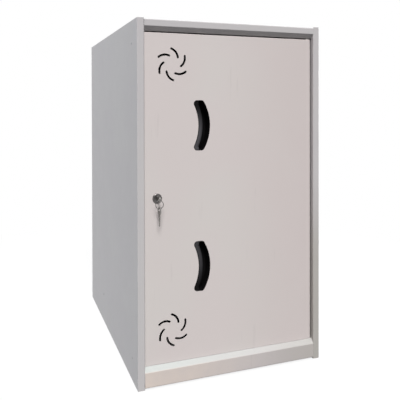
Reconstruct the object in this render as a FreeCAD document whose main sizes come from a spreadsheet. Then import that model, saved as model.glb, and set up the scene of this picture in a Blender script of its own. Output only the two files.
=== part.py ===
import FreeCAD, Part
import math
import os

import Sketcher
from FreeCAD import Placement, Rotation, Vector

# Luggage locker of folded sheet steel: a cabinet open at the front, and one door on concealed
# pivots with two finger pulls, two pinwheel vents and a cam lock with its keys.
# Every piece is drawn from the cabinet's front left bottom corner: X to the right, Y into the
# cabinet, Z up. Each Placement then moves that corner so that the origin is in the middle of the
# whole footprint, on the floor.

# Driving dimensions in millimetres, and angles in degrees.
SIZES = {
    # cabinet
    "width": 505.0,
    "depth": 695.0,
    "height": 900.0,
    "sheet": 1.0,
    "bend_radius": 2.5,
    "panel_clearance": 0.2,
    "stile_width": 18.0,
    "rear_flange": 22.0,
    "tray_flange": 20.0,
    "side_lip_top": 2.5,
    "side_lip_bottom": 4.0,
    # front frame
    "header_face": 16.2,
    "header_flange": 27.0,
    "kick_face": 37.0,
    "kick_return": 20.0,
    "stop_height": 14.0,
    "sill_lap": 12.0,
    # stop posts, buffers and rivets
    "stop_reach": 14.0,
    "post_leg": 34.0,
    "post_clearance": 0.3,
    "post_rivet_setback": 58.0,
    "post_rivet_inset": 57.0,
    "rivet_radius": 1.6,
    "rivet_head_radius": 3.2,
    "rivet_head_rise": 1.2,
    "rivet_tail_radius": 2.6,
    "rivet_tail_rise": 1.5,
    "rivet_clearance": 0.05,
    "back_rivet_inset": 60.0,
    "buffer_gap": 5.0,
    "buffer_clearance": 0.3,
    "buffer_radius": 5.0,
    "buffer_stem_radius": 2.0,
    "buffer_bulb_radius": 3.0,
    "buffer_bulb_rise": 2.0,
    "buffer_inset": 70.0,
    # wall fixing holes in the back panel
    "wall_hole_radius": 4.0,
    "wall_hole_span_x": 380.0,
    "wall_hole_span_z": 720.0,
    # door
    "door_recess": 11.0,
    "door_depth": 20.0,
    "door_lip": 12.0,
    "door_edge_radius": 2.0,
    "door_gap_lock": 2.4,
    "door_gap_hinge": 3.2,
    "door_gap_top": 3.2,
    "door_gap_bottom": 1.2,
    "stiffener_from_hinge": 130.0,
    "stiffener_width": 40.0,
    "stiffener_flange": 15.0,
    "stiffener_depth": 16.0,
    "stiffener_end_gap": 30.0,
    # pivots
    "pivot_inset": 7.0,
    "pivot_setback": 7.0,
    "pin_radius": 3.0,
    "pin_engagement": 10.0,
    "pin_head_radius": 4.8,
    "pin_head": 2.0,
    "pin_running_clearance": 0.05,
    "bush_wall": 1.5,
    "bush_flange_radius": 6.0,
    "bush_flange": 0.7,
    "bush_length": 12.0,
    "bush_clearance": 0.05,
    "pivot_seat_clearance": 0.1,
    # finger pulls
    "pull_x": 175.7,
    "pull_offset": 177.4,
    "pull_height": 125.4,
    "pull_width": 30.2,
    "pull_outer_radius": 117.0,
    "pull_inner_radius": 119.0,
    "pull_corner": 8.2,
    "cup_depth": 34.0,
    "cup_wall": 2.0,
    "cup_flange": 9.0,
    "cup_floor_radius": 5.0,
    "lip_rim": 0.8,
    "lip_width": 11.6,
    "lip_corner": 5.8,
    "lip_thickness": 4.0,
    "lip_roll_radius": 15.0,
    "lip_roll_angle": 37.0,
    "lip_roll_sweep": 49.0,
    # pinwheel vents
    "vent_x": 91.5,
    "vent_offset": 328.9,
    "vent_slots": 6,
    "vent_slot_width": 5.4,
    "vent_arc_radius": 25.0,
    "vent_arc_offset": 18.3,
    "vent_arc_bearing": 124.0,
    "vent_arc_start": 6.0,
    "vent_arc_end": 71.6,
    # cam lock
    "lock_x": 52.0,
    "bezel_radius": 12.0,
    "bezel_rise": 3.0,
    "bezel_chamfer": 1.0,
    "barrel_radius": 9.4,
    "barrel_clearance": 0.1,
    "plug_radius": 6.6,
    "plug_head_radius": 8.2,
    "plug_head": 1.8,
    "plug_running_clearance": 0.05,
    "plug_end_clearance": 0.3,
    "nut_across_flats": 25.0,
    "nut_thickness": 4.0,
    "washer_radius": 13.5,
    "washer_thickness": 1.0,
    "drive_square": 7.0,
    "drive_clearance": 0.1,
    "cam_thickness": 2.0,
    "cam_width": 16.0,
    "cam_reach": 35.0,
    "cam_corner": 5.0,
    "cam_behind_stop": 1.7,
    "cam_screw_radius": 2.0,
    "cam_screw_length": 8.0,
    "cam_screw_head_radius": 5.5,
    "cam_screw_head": 2.5,
    "cam_screw_clearance": 0.05,
    "wafer_thickness": 1.0,
    "wafer_width": 6.0,
    "wafer_pitch": 3.0,
    "wafer_start": 4.0,
    "wafer_clearance": 0.1,
    "wafer_count": 4,
    # keys
    "key_thickness": 2.0,
    "key_blade_width": 5.2,
    "key_insertion": 23.0,
    "key_neck": 6.0,
    "key_neck_width": 7.6,
    "key_bow_length": 18.0,
    "key_bow_width": 14.0,
    "key_bow_corner": 4.5,
    "key_hole_radius": 3.7,
    "key_hole_web": 2.5,
    "key_cut_depth": 1.2,
    "keyway_clearance": 0.2,
    "ring_radius": 9.8,
    "ring_wire_radius": 0.8,
    "ring_clearance": 0.3,
    "spare_key_yaw": 14.0,
}


class Size:
    """A length or angle: its value now, and the spreadsheet expression that gives it."""

    def __init__(self, value, text):
        self.value = float(value)
        self.text = text

    @staticmethod
    def wrap(other):
        return other if isinstance(other, Size) else Size(other, repr(float(other)))

    def __add__(self, other):
        other = Size.wrap(other)
        return Size(self.value + other.value, f"({self.text} + {other.text})")

    def __sub__(self, other):
        other = Size.wrap(other)
        return Size(self.value - other.value, f"({self.text} - {other.text})")

    def __mul__(self, other):
        other = Size.wrap(other)
        return Size(self.value * other.value, f"({self.text} * {other.text})")

    def __truediv__(self, other):
        other = Size.wrap(other)
        return Size(self.value / other.value, f"({self.text} / {other.text})")

    def __radd__(self, other):
        return Size.wrap(other) + self

    def __rsub__(self, other):
        return Size.wrap(other) - self

    def __rmul__(self, other):
        return Size.wrap(other) * self

    def __neg__(self):
        return Size(-self.value, f"(-1 * {self.text})")

    def cos(self):
        """Cosine of an angle in degrees."""
        return Size(math.cos(math.radians(self.value)), f"cos({self.text})")

    def sin(self):
        """Sine of an angle in degrees."""
        return Size(math.sin(math.radians(self.value)), f"sin({self.text})")

    def root(self):
        """Square root."""
        return Size(math.sqrt(self.value), f"sqrt({self.text})")


class Sizes:
    """The spreadsheet of driving dimensions, with each cell as an attribute of its alias."""

    def __init__(self, document, table):
        sheet = document.addObject("Spreadsheet::Sheet", "Sizes")
        for row, (alias, number) in enumerate(table.items(), start=1):
            sheet.set(f"A{row}", alias)
            sheet.set(f"B{row}", str(number))
            sheet.setAlias(f"B{row}", alias)
            setattr(self, alias, Size(number, f"Sizes.{alias}"))


doc = FreeCAD.newDocument("luggage_locker")
s = Sizes(doc, SIZES)
doc.recompute()

ZERO = Size(0, "0")
pieces = []


# Helpers for document objects whose sizes follow the spreadsheet

def bind(obj, prop, size):
    """Give a property its value and the expression that keeps it."""
    obj.setExpression(prop, Size.wrap(size).text)


def place(obj, x, y, z, rotation=Rotation()):
    """Place an object by expressions, measured from the cabinet's front left bottom corner."""
    obj.Placement = Placement(Vector(), rotation)
    bind(obj, "Placement.Base.x", x + corner_x)
    bind(obj, "Placement.Base.y", y + corner_y)
    bind(obj, "Placement.Base.z", z)


def new_body(label, x=ZERO, y=ZERO, z=ZERO, rotation=Rotation()):
    """A body that becomes one piece of the locker."""
    body = doc.addObject("PartDesign::Body", label)
    body.Label = label
    place(body, x, y, z, rotation)
    pieces.append(body)
    return body


def new_sketch(body, plane_role, lift=ZERO, shift_x=ZERO, shift_y=ZERO):
    """A sketch on one of the body's own planes, lifted along its normal and shifted in it."""
    sketch = body.newObject("Sketcher::SketchObject", body.Name + "_sketch")
    plane = next(item for item in body.Origin.OriginFeatures if item.Role == plane_role)
    sketch.AttachmentSupport = [(plane, "")]
    sketch.MapMode = "FlatFace"
    bind(sketch, "AttachmentOffset.Base.x", shift_x)
    bind(sketch, "AttachmentOffset.Base.y", shift_y)
    bind(sketch, "AttachmentOffset.Base.z", lift)
    return sketch


def hold(sketch, kind, *where, size):
    """Add a dimension to a sketch and bind it."""
    size = Size.wrap(size)
    index = sketch.addConstraint(Sketcher.Constraint(kind, *where, size.value))
    sketch.setExpression(f"Constraints[{index}]", size.text)


def hold_point(sketch, geometry, point, x, y):
    """Fix a point of a sketch element at bound coordinates."""
    hold(sketch, "DistanceX", -1, 1, geometry, point, size=x)
    hold(sketch, "DistanceY", -1, 1, geometry, point, size=y)


def draw_outline(sketch, corners):
    """Draw a closed outline of straight lines; a corner (x, y, radius) is rounded."""
    corners = [tuple(Size.wrap(value) for value in corner) for corner in corners]
    count = len(corners)
    starts, ends, rounds = [], [], []
    for index, corner in enumerate(corners):
        before = corners[index - 1]
        after = corners[(index + 1) % count]
        arrive = Vector(corner[0].value - before[0].value, corner[1].value - before[1].value).normalize()
        leave = Vector(after[0].value - corner[0].value, after[1].value - corner[1].value).normalize()
        if len(corner) == 2:
            ends.append(corner)
            starts.append(corner)
            rounds.append(None)
            continue
        turn = math.atan2(arrive.cross(leave).z, arrive.dot(leave))
        run = corner[2] * math.tan(abs(turn) / 2)
        ends.append((corner[0] - run * arrive.x, corner[1] - run * arrive.y))
        starts.append((corner[0] + run * leave.x, corner[1] + run * leave.y))
        rounds.append((corner[2], turn, arrive))
    lines = []
    for index in range(count):
        begin = starts[index]
        end = ends[(index + 1) % count]
        line = sketch.addGeometry(Part.LineSegment(
            Vector(begin[0].value, begin[1].value), Vector(end[0].value, end[1].value)))
        lines.append(line)
        hold_point(sketch, line, 1, *begin)
        if rounds[(index + 1) % count]:
            hold_point(sketch, line, 2, *end)
    for index in range(count):
        line_in = lines[index - 1]
        line_out = lines[index]
        if not rounds[index]:
            sketch.addConstraint(Sketcher.Constraint("Coincident", line_in, 2, line_out, 1))
            continue
        radius, turn, arrive = rounds[index]
        side = math.copysign(1.0, turn)
        touch = Vector(ends[index][0].value, ends[index][1].value)
        centre = touch + Vector(-arrive.y, arrive.x) * (side * radius.value)
        spoke = touch - centre
        bearing = math.atan2(spoke.y, spoke.x)
        circle = Part.Circle(centre, Vector(0, 0, 1), radius.value)
        if turn > 0:
            arc = sketch.addGeometry(Part.ArcOfCircle(circle, bearing, bearing + turn))
            first, last = 1, 2
        else:
            arc = sketch.addGeometry(Part.ArcOfCircle(circle, bearing + turn, bearing))
            first, last = 2, 1
        sketch.addConstraint(Sketcher.Constraint("Coincident", line_in, 2, arc, first))
        sketch.addConstraint(Sketcher.Constraint("Coincident", arc, last, line_out, 1))
        hold(sketch, "Radius", arc, size=radius)


def rectangle(x_low, y_low, x_high, y_high, radius=None):
    """The corners of a rectangle, rounded if a radius is given."""
    corners = [(x_low, y_low), (x_high, y_low), (x_high, y_high), (x_low, y_high)]
    return [corner + (radius,) for corner in corners] if radius else corners


def draw_circle(sketch, x, y, radius):
    """Draw a circle with a bound centre and radius."""
    x, y, radius = Size.wrap(x), Size.wrap(y), Size.wrap(radius)
    circle = sketch.addGeometry(Part.Circle(Vector(x.value, y.value), Vector(0, 0, 1), radius.value))
    hold_point(sketch, circle, 3, x, y)
    hold(sketch, "Radius", circle, size=radius)


def extrude(sketch, kind, length, reverse=False, both_ways=False):
    """Pad or pocket a sketch by a bound length; a pocket must take material away."""
    body = sketch.getParentGeoFeatureGroup()
    before = body.Tip.Shape.Volume if kind == "Pocket" else 0
    feature = body.newObject("PartDesign::" + kind, f"{body.Name}_{kind.lower()}")
    feature.Profile = sketch
    feature.SideType = "Symmetric" if both_ways else "One side"
    feature.Reversed = reverse
    bind(feature, "Length", length)
    doc.recompute()
    if kind == "Pocket" and not feature.Shape.Volume < before:
        raise RuntimeError(f"{body.Label}: a pocket cut nothing")
    return feature


def revolve(sketch):
    """Turn a profile a full circle about the sketch's vertical axis."""
    body = sketch.getParentGeoFeatureGroup()
    feature = body.newObject("PartDesign::Revolution", body.Name + "_turned")
    feature.Profile = sketch
    feature.ReferenceAxis = (sketch, ["V_Axis"])
    feature.Angle = 360
    doc.recompute()
    return feature


def repeat_line(feature, axis, length, count, across=None):
    """Repeat a feature along a sketch axis and, if asked, along a second one as well."""
    body = feature.getParentGeoFeatureGroup()
    pattern = body.newObject("PartDesign::LinearPattern", body.Name + "_row")
    pattern.Originals = [feature]
    pattern.Direction = (feature.Profile[0], [axis])
    pattern.Occurrences = count
    bind(pattern, "Length", length)
    if across:
        second_axis, second_length, second_count = across
        pattern.Direction2 = (feature.Profile[0], [second_axis])
        pattern.Occurrences2 = second_count
        bind(pattern, "Length2", second_length)
    body.Tip = pattern
    doc.recompute()
    return pattern


def round_edges(body, radius, wanted):
    """Fillet the body's edges that a test picks out."""
    doc.recompute()
    base = body.Tip
    names = [f"Edge{index}" for index, edge in enumerate(base.Shape.Edges, start=1) if wanted(edge)]
    if not names:
        raise RuntimeError(f"{body.Label}: no edge to round")
    fillet = body.newObject("PartDesign::Fillet", body.Name + "_round")
    fillet.Base = (base, names)
    bind(fillet, "Radius", radius)
    doc.recompute()
    return fillet


def lies_at(edge, axis, value):
    """True where an edge lies wholly in the plane of one coordinate."""
    first, last = edge.ParameterRange
    points = [edge.valueAt(parameter) for parameter in (first, (first + last) / 2, last)]
    return all(abs(point[axis] - value) < 1e-6 for point in points)


# Places that several pieces share

key_reach = s.key_neck + s.key_bow_length
key_front = s.door_recess - s.bezel_rise - key_reach
corner_x = -s.width / 2
corner_y = -(s.depth + key_front) / 2

jamb_depth = s.door_recess + s.door_depth + s.buffer_gap
header_top = s.height - s.side_lip_top
header_low = header_top - s.header_face
soffit = header_low - s.door_recess
top_face = header_top - s.sheet
kick_low = s.side_lip_bottom
kick_high = kick_low + s.kick_face
ledge = kick_high + s.door_recess
floor_top = ledge + s.sheet
frame_span = s.width - 2 * s.stile_width

door_left = s.stile_width + s.door_gap_lock
door_right = s.width - s.stile_width - s.door_gap_hinge
door_low = ledge + s.door_gap_bottom
door_high = soffit - s.door_gap_top
door_middle = (ledge + soffit) / 2
skin_back = s.door_recess + s.sheet

pivot_x = door_right - s.pivot_inset
pivot_y = s.door_recess + s.pivot_setback
bush_bore = s.pin_radius + s.pin_running_clearance
bush_radius = bush_bore + s.bush_wall
bush_hole = bush_radius + s.bush_clearance
pin_hole = s.pin_radius + s.bush_clearance

post_low = floor_top
post_high = soffit - s.stop_height - s.post_clearance
post_back = jamb_depth + s.post_leg
rivet_hole = s.rivet_radius + s.rivet_clearance
post_rivet_span = s.height - 2 * s.post_rivet_inset
back_rivet_span = s.height - 2 * s.back_rivet_inset
back_rivet_count = 4
post_rivet_count = 2
buffer_count = 2
buffer_x = s.stile_width + s.stop_reach - s.buffer_radius - s.sheet
buffer_low = door_low + s.buffer_inset
buffer_span = door_high - door_low - 2 * s.buffer_inset
buffer_hole = s.buffer_stem_radius + s.rivet_clearance

cam_front = jamb_depth + s.sheet + s.cam_behind_stop - s.door_recess
cam_back = cam_front + s.cam_thickness
barrel_back = cam_front - s.plug_end_clearance

pull_axis = -s.pull_width / 2 - s.pull_inner_radius
pull_places = {"upper": door_middle + s.pull_offset, "lower": door_middle - s.pull_offset}
vent_places = (door_middle + s.vent_offset, door_middle - s.vent_offset)

key_hole_y = key_reach - s.key_hole_web - s.key_hole_radius
lock_front = s.door_recess - s.bezel_rise
side_web = s.key_bow_width / 2 - s.key_hole_radius
web_corner = (side_web * side_web / 4 + s.key_thickness * s.key_thickness / 4).root()
web_middle = door_middle - s.key_hole_radius - side_web / 2
ring_inside = s.ring_radius - s.ring_wire_radius
ring_middle = web_middle + web_corner + s.ring_clearance / 2 - ring_inside
ring_front = lock_front - key_hole_y
spare_hole = ring_middle - s.ring_radius - (s.key_hole_radius - s.ring_wire_radius - s.ring_clearance)


# Cabinet

def make_side_panel(label, hand, edge_x):
    """One side with its stile, jamb and rear flange; hand is 1 on the left and -1 on the right."""
    body = new_body(label, edge_x)
    inner = s.bend_radius - s.sheet
    outer_path = [
        (s.rear_flange, s.depth),
        (ZERO, s.depth, s.bend_radius),
        (ZERO, ZERO, s.bend_radius),
        (s.stile_width, ZERO, s.bend_radius),
        (s.stile_width, jamb_depth),
    ]
    inner_path = [
        (s.stile_width - s.sheet, jamb_depth),
        (s.stile_width - s.sheet, s.sheet, inner),
        (s.sheet, s.sheet, inner),
        (s.sheet, s.depth - s.sheet, inner),
        (s.rear_flange, s.depth - s.sheet),
    ]
    corners = [(corner[0] * hand,) + corner[1:] for corner in outer_path + inner_path]
    folded = new_sketch(body, "XY_Plane")
    draw_outline(folded, corners)
    extrude(folded, "Pad", s.height)

    # the stile's box stops under the top panel, behind the stile's face
    notch_low = top_face - s.sheet
    notch = new_sketch(body, "XY_Plane", lift=notch_low)
    draw_outline(notch, rectangle(
        hand * s.sheet, s.sheet, hand * (s.stile_width + s.sheet), jamb_depth + s.sheet))
    extrude(notch, "Pocket", s.height - notch_low, reverse=True)

    rivets = new_sketch(body, "YZ_Plane")
    draw_circle(rivets, s.post_rivet_setback, s.post_rivet_inset, rivet_hole)
    draw_circle(rivets, s.post_rivet_setback, s.height - s.post_rivet_inset, rivet_hole)
    extrude(rivets, "Pocket", 4 * s.sheet, both_ways=True)

    flange_x = hand * s.rear_flange / 2
    fixings = new_sketch(body, "XZ_Plane", lift=-s.depth)
    draw_circle(fixings, flange_x, s.back_rivet_inset, rivet_hole)
    hole = extrude(fixings, "Pocket", 4 * s.sheet, both_ways=True)
    repeat_line(hole, "V_Axis", back_rivet_span, back_rivet_count)


def make_tray(label, top, y_front):
    """A flat panel between the sides, with its side and rear edges turned down."""
    body = new_body(label)
    left = s.sheet + s.panel_clearance
    right = s.width - left
    back = s.depth - 2 * s.sheet
    plate = new_sketch(body, "XY_Plane", lift=top)
    draw_outline(plate, rectangle(left, y_front, right, back))
    extrude(plate, "Pad", s.tray_flange, reverse=True)
    hollow = new_sketch(body, "XY_Plane", lift=top - s.sheet)
    flange_front = post_back + s.sheet
    draw_outline(hollow, rectangle(left + s.sheet, y_front - s.sheet, right - s.sheet, back - s.sheet))
    extrude(hollow, "Pocket", s.tray_flange)
    relief = new_sketch(body, "XY_Plane", lift=top - s.sheet)
    draw_outline(relief, rectangle(left - s.sheet, y_front - s.sheet, right + s.sheet, flange_front))
    extrude(relief, "Pocket", s.tray_flange)


def make_header_rail():
    """The top rail: flange, face, slope down to the door's plane, soffit and stop."""
    body = new_body("header_rail", s.stile_width)
    slant = s.sheet * math.tan(math.pi / 8)
    inner = s.bend_radius - s.sheet
    stop_low = soffit - s.stop_height
    profile = new_sketch(body, "YZ_Plane")
    draw_outline(profile, [
        (s.header_flange, header_top),
        (ZERO, header_top, s.bend_radius),
        (ZERO, header_low, s.bend_radius),
        (s.door_recess, soffit),
        (jamb_depth, soffit),
        (jamb_depth, stop_low),
        (jamb_depth + s.sheet, stop_low),
        (jamb_depth + s.sheet, soffit + s.sheet),
        (s.door_recess + slant, soffit + s.sheet),
        (s.sheet, header_low + slant, inner),
        (s.sheet, header_top - s.sheet, inner),
        (s.header_flange, header_top - s.sheet),
    ])
    extrude(profile, "Pad", frame_span)
    pivot = new_sketch(body, "XY_Plane", lift=soffit)
    draw_circle(pivot, pivot_x - s.stile_width, pivot_y, pin_hole)
    extrude(pivot, "Pocket", 4 * s.sheet, both_ways=True)


def make_sill_rail():
    """The bottom rail: ledge, slope, kick plate and bottom return."""
    body = new_body("sill_rail", s.stile_width)
    slant = s.sheet * math.tan(math.pi / 8)
    inner = s.bend_radius - s.sheet
    ledge_back = jamb_depth + s.sill_lap
    profile = new_sketch(body, "YZ_Plane")
    draw_outline(profile, [
        (ledge_back, ledge),
        (s.door_recess, ledge),
        (ZERO, kick_high, s.bend_radius),
        (ZERO, kick_low, s.bend_radius),
        (s.kick_return, kick_low),
        (s.kick_return, kick_low + s.sheet),
        (s.sheet, kick_low + s.sheet, inner),
        (s.sheet, kick_high - slant, inner),
        (s.door_recess + slant, ledge - s.sheet),
        (ledge_back, ledge - s.sheet),
    ])
    extrude(profile, "Pad", frame_span)
    pivot = new_sketch(body, "XY_Plane", lift=ledge)
    draw_circle(pivot, pivot_x - s.stile_width, pivot_y, pin_hole)
    extrude(pivot, "Pocket", 4 * s.sheet, both_ways=True)


def make_back_panel():
    """The flat back, inside the rear flanges, with holes for wall bolts."""
    body = new_body("back_panel", y=s.depth - s.sheet)
    plate = new_sketch(body, "XZ_Plane")
    draw_outline(plate, rectangle(
        s.bend_radius, kick_low, s.width - s.bend_radius, header_top))
    extrude(plate, "Pad", s.sheet)
    rivets = new_sketch(body, "XZ_Plane")
    draw_circle(rivets, s.rear_flange / 2, s.back_rivet_inset, rivet_hole)
    hole = extrude(rivets, "Pocket", 4 * s.sheet, both_ways=True)
    repeat_line(hole, "V_Axis", back_rivet_span, back_rivet_count,
                across=("H_Axis", s.width - s.rear_flange, 2))
    wall_holes = new_sketch(body, "XZ_Plane")
    draw_circle(wall_holes, (s.width - s.wall_hole_span_x) / 2, (s.height - s.wall_hole_span_z) / 2,
                s.wall_hole_radius)
    hole = extrude(wall_holes, "Pocket", 4 * s.sheet, both_ways=True)
    repeat_line(hole, "V_Axis", s.wall_hole_span_z, 2, across=("H_Axis", s.wall_hole_span_x, 2))


def make_stop_post(label, hand, edge_x, with_buffers):
    """An angle behind a jamb: one leg on the side panel, the other the door's stop."""
    body = new_body(label, edge_x)
    near = s.sheet
    far = s.stile_width + s.stop_reach
    corners = [
        (near, post_back),
        (near, jamb_depth, s.bend_radius),
        (far, jamb_depth),
        (far, jamb_depth + s.sheet),
        (near + s.sheet, jamb_depth + s.sheet, s.bend_radius - s.sheet),
        (near + s.sheet, post_back),
    ]
    angle = new_sketch(body, "XY_Plane", lift=post_low)
    draw_outline(angle, [(corner[0] * hand,) + corner[1:] for corner in corners])
    extrude(angle, "Pad", post_high - post_low)
    rivets = new_sketch(body, "YZ_Plane")
    draw_circle(rivets, s.post_rivet_setback, s.post_rivet_inset, rivet_hole)
    draw_circle(rivets, s.post_rivet_setback, s.height - s.post_rivet_inset, rivet_hole)
    extrude(rivets, "Pocket", 8 * s.sheet, both_ways=True)
    if with_buffers:
        stems = new_sketch(body, "XZ_Plane", lift=-jamb_depth)
        draw_circle(stems, hand * buffer_x, buffer_low, buffer_hole)
        hole = extrude(stems, "Pocket", 4 * s.sheet, both_ways=True)
        repeat_line(hole, "V_Axis", buffer_span, buffer_count)


def turned_rivets(label, x, y, z, rotation, count, span, row_axis, across=None):
    """A row of blind rivets, each turned about the axis that its head faces along."""
    body = new_body(label, x, y, z, rotation)
    profile = new_sketch(body, "XY_Plane")
    grip = 2 * s.sheet
    shoulder = s.rivet_head_radius / 2
    draw_outline(profile, [
        (ZERO, -s.rivet_head_rise),
        (shoulder, -s.rivet_head_rise),
        (s.rivet_head_radius, ZERO),
        (s.rivet_radius, ZERO),
        (s.rivet_radius, grip),
        (s.rivet_tail_radius, grip),
        (s.rivet_radius, grip + s.rivet_tail_rise),
        (ZERO, grip + s.rivet_tail_rise),
    ])
    repeat_line(revolve(profile), row_axis, span, count, across)


def make_rivets():
    """The rivets of the stop posts and of the back panel, heads outwards."""
    into_right = Rotation(Vector(0, 0, 1), -90)
    into_left = Rotation(Vector(0, 0, 1), 90)
    into_front = Rotation(Vector(0, 0, 1), 180)
    turned_rivets("left_side_rivets", ZERO, s.post_rivet_setback, s.post_rivet_inset,
                  into_right, post_rivet_count, post_rivet_span, "N_Axis")
    turned_rivets("right_side_rivets", s.width, s.post_rivet_setback, s.post_rivet_inset,
                  into_left, post_rivet_count, post_rivet_span, "N_Axis")
    turned_rivets("back_rivets", s.width - s.rear_flange / 2, s.depth, s.back_rivet_inset,
                  into_front, back_rivet_count, back_rivet_span, "N_Axis",
                  across=("H_Axis", s.width - s.rear_flange, 2))


def make_buffers():
    """Rubber buffers on the left post, each held by a stem and bulb through the stop."""
    body = new_body("door_buffers", buffer_x, jamb_depth, buffer_low)
    pad = s.buffer_gap - s.buffer_clearance
    profile = new_sketch(body, "XY_Plane")
    draw_outline(profile, [
        (ZERO, -pad),
        (s.buffer_radius, -pad, s.sheet),
        (s.buffer_radius, ZERO),
        (s.buffer_stem_radius, ZERO),
        (s.buffer_stem_radius, s.sheet),
        (s.buffer_bulb_radius, s.sheet),
        (s.buffer_stem_radius, s.sheet + s.buffer_bulb_rise),
        (ZERO, s.sheet + s.buffer_bulb_rise),
    ])
    repeat_line(revolve(profile), "N_Axis", buffer_span, buffer_count)


# Door

def pull_outline(sketch, grow=ZERO, lip=ZERO, corner=s.pull_corner):
    """The arc-shaped outline of a finger pull with rounded corners, grown outwards by a margin.

    A lip takes its width off the outline's inner side.
    """
    outer = s.pull_outer_radius + grow
    inner = s.pull_inner_radius - grow + lip
    corner = corner + grow
    half = s.pull_height / 2 + grow
    outer_x = s.pull_width / 2 - s.pull_outer_radius
    inner_x = pull_axis
    rise = (half - corner).value
    outer_turn = math.asin(rise / (outer - corner).value)
    inner_turn = math.asin(rise / (inner + corner).value)
    right = outer_x.value + (outer - corner).value * math.cos(outer_turn)
    left = inner_x.value + (inner + corner).value * math.cos(inner_turn)

    def arc(x, y, radius, start, end):
        circle = Part.Circle(Vector(x, y), Vector(0, 0, 1), radius.value)
        index = sketch.addGeometry(Part.ArcOfCircle(circle, start, end))
        hold(sketch, "Radius", index, size=radius)
        return index

    def line(x_from, x_to, level):
        index = sketch.addGeometry(Part.LineSegment(
            Vector(x_from, level.value), Vector(x_to, level.value)))
        sketch.addConstraint(Sketcher.Constraint("Horizontal", index))
        hold(sketch, "DistanceY", -1, 1, index, 1, size=level)
        return index

    quarter = math.pi / 2
    right_side = arc(outer_x.value, 0, outer, -outer_turn, outer_turn)
    left_side = arc(inner_x.value, 0, inner, -inner_turn, inner_turn)
    hold_point(sketch, right_side, 3, outer_x, ZERO)
    hold_point(sketch, left_side, 3, inner_x, ZERO)
    top = line(right, left, half)
    bottom = line(left, right, -half)
    top_right = arc(right, rise, corner, outer_turn, quarter)
    top_left = arc(left, rise, corner, quarter, 2 * quarter + inner_turn)
    bottom_left = arc(left, -rise, corner, 2 * quarter - inner_turn, 3 * quarter)
    bottom_right = arc(right, -rise, corner, 3 * quarter, 4 * quarter - outer_turn)
    for first, first_point, second, second_point in (
            (right_side, 2, top_right, 1), (top_right, 2, top, 1),
            (top, 2, top_left, 1), (top_left, 2, left_side, 2),
            (left_side, 1, bottom_left, 1), (bottom_left, 2, bottom, 1),
            (bottom, 2, bottom_right, 1), (bottom_right, 2, right_side, 1)):
        sketch.addConstraint(Sketcher.Constraint("Tangent", first, first_point, second, second_point))


def vent_slot(sketch):
    """One curved slot of a pinwheel vent, about the sketch's own origin."""
    half = s.vent_slot_width / 2
    centre_x = s.vent_arc_offset * s.vent_arc_bearing.cos()
    centre_y = s.vent_arc_offset * s.vent_arc_bearing.sin()
    start = math.radians(s.vent_arc_start.value)
    end = math.radians(s.vent_arc_end.value)
    middle = Vector(centre_x.value, centre_y.value)
    normal = Vector(0, 0, 1)
    rims = []
    for radius in (s.vent_arc_radius + half, s.vent_arc_radius - half):
        circle = Part.Circle(middle, normal, radius.value)
        arc = sketch.addGeometry(Part.ArcOfCircle(circle, start, end))
        hold(sketch, "Radius", arc, size=radius)
        rims.append(arc)
    outer, inner = rims
    hold_point(sketch, outer, 3, centre_x, centre_y)
    sketch.addConstraint(Sketcher.Constraint("Coincident", outer, 3, inner, 3))
    caps = []
    for angle, first in ((start, math.pi), (end, 0.0)):
        cap_centre = middle + Vector(math.cos(angle), math.sin(angle)) * s.vent_arc_radius.value
        circle = Part.Circle(cap_centre, normal, half.value)
        caps.append(sketch.addGeometry(
            Part.ArcOfCircle(circle, angle + first, angle + first + math.pi)))
    start_cap, end_cap = caps
    for rim, rim_point, cap, cap_point in (
            (inner, 1, start_cap, 1), (outer, 1, start_cap, 2),
            (outer, 2, end_cap, 1), (inner, 2, end_cap, 2)):
        sketch.addConstraint(Sketcher.Constraint("Tangent", rim, rim_point, cap, cap_point))
    hold(sketch, "DistanceY", -1, 1, start_cap, 3,
         size=centre_y + s.vent_arc_radius * s.vent_arc_start.sin())
    hold(sketch, "DistanceX", -1, 1, end_cap, 3,
         size=centre_x + s.vent_arc_radius * s.vent_arc_end.cos())


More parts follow.
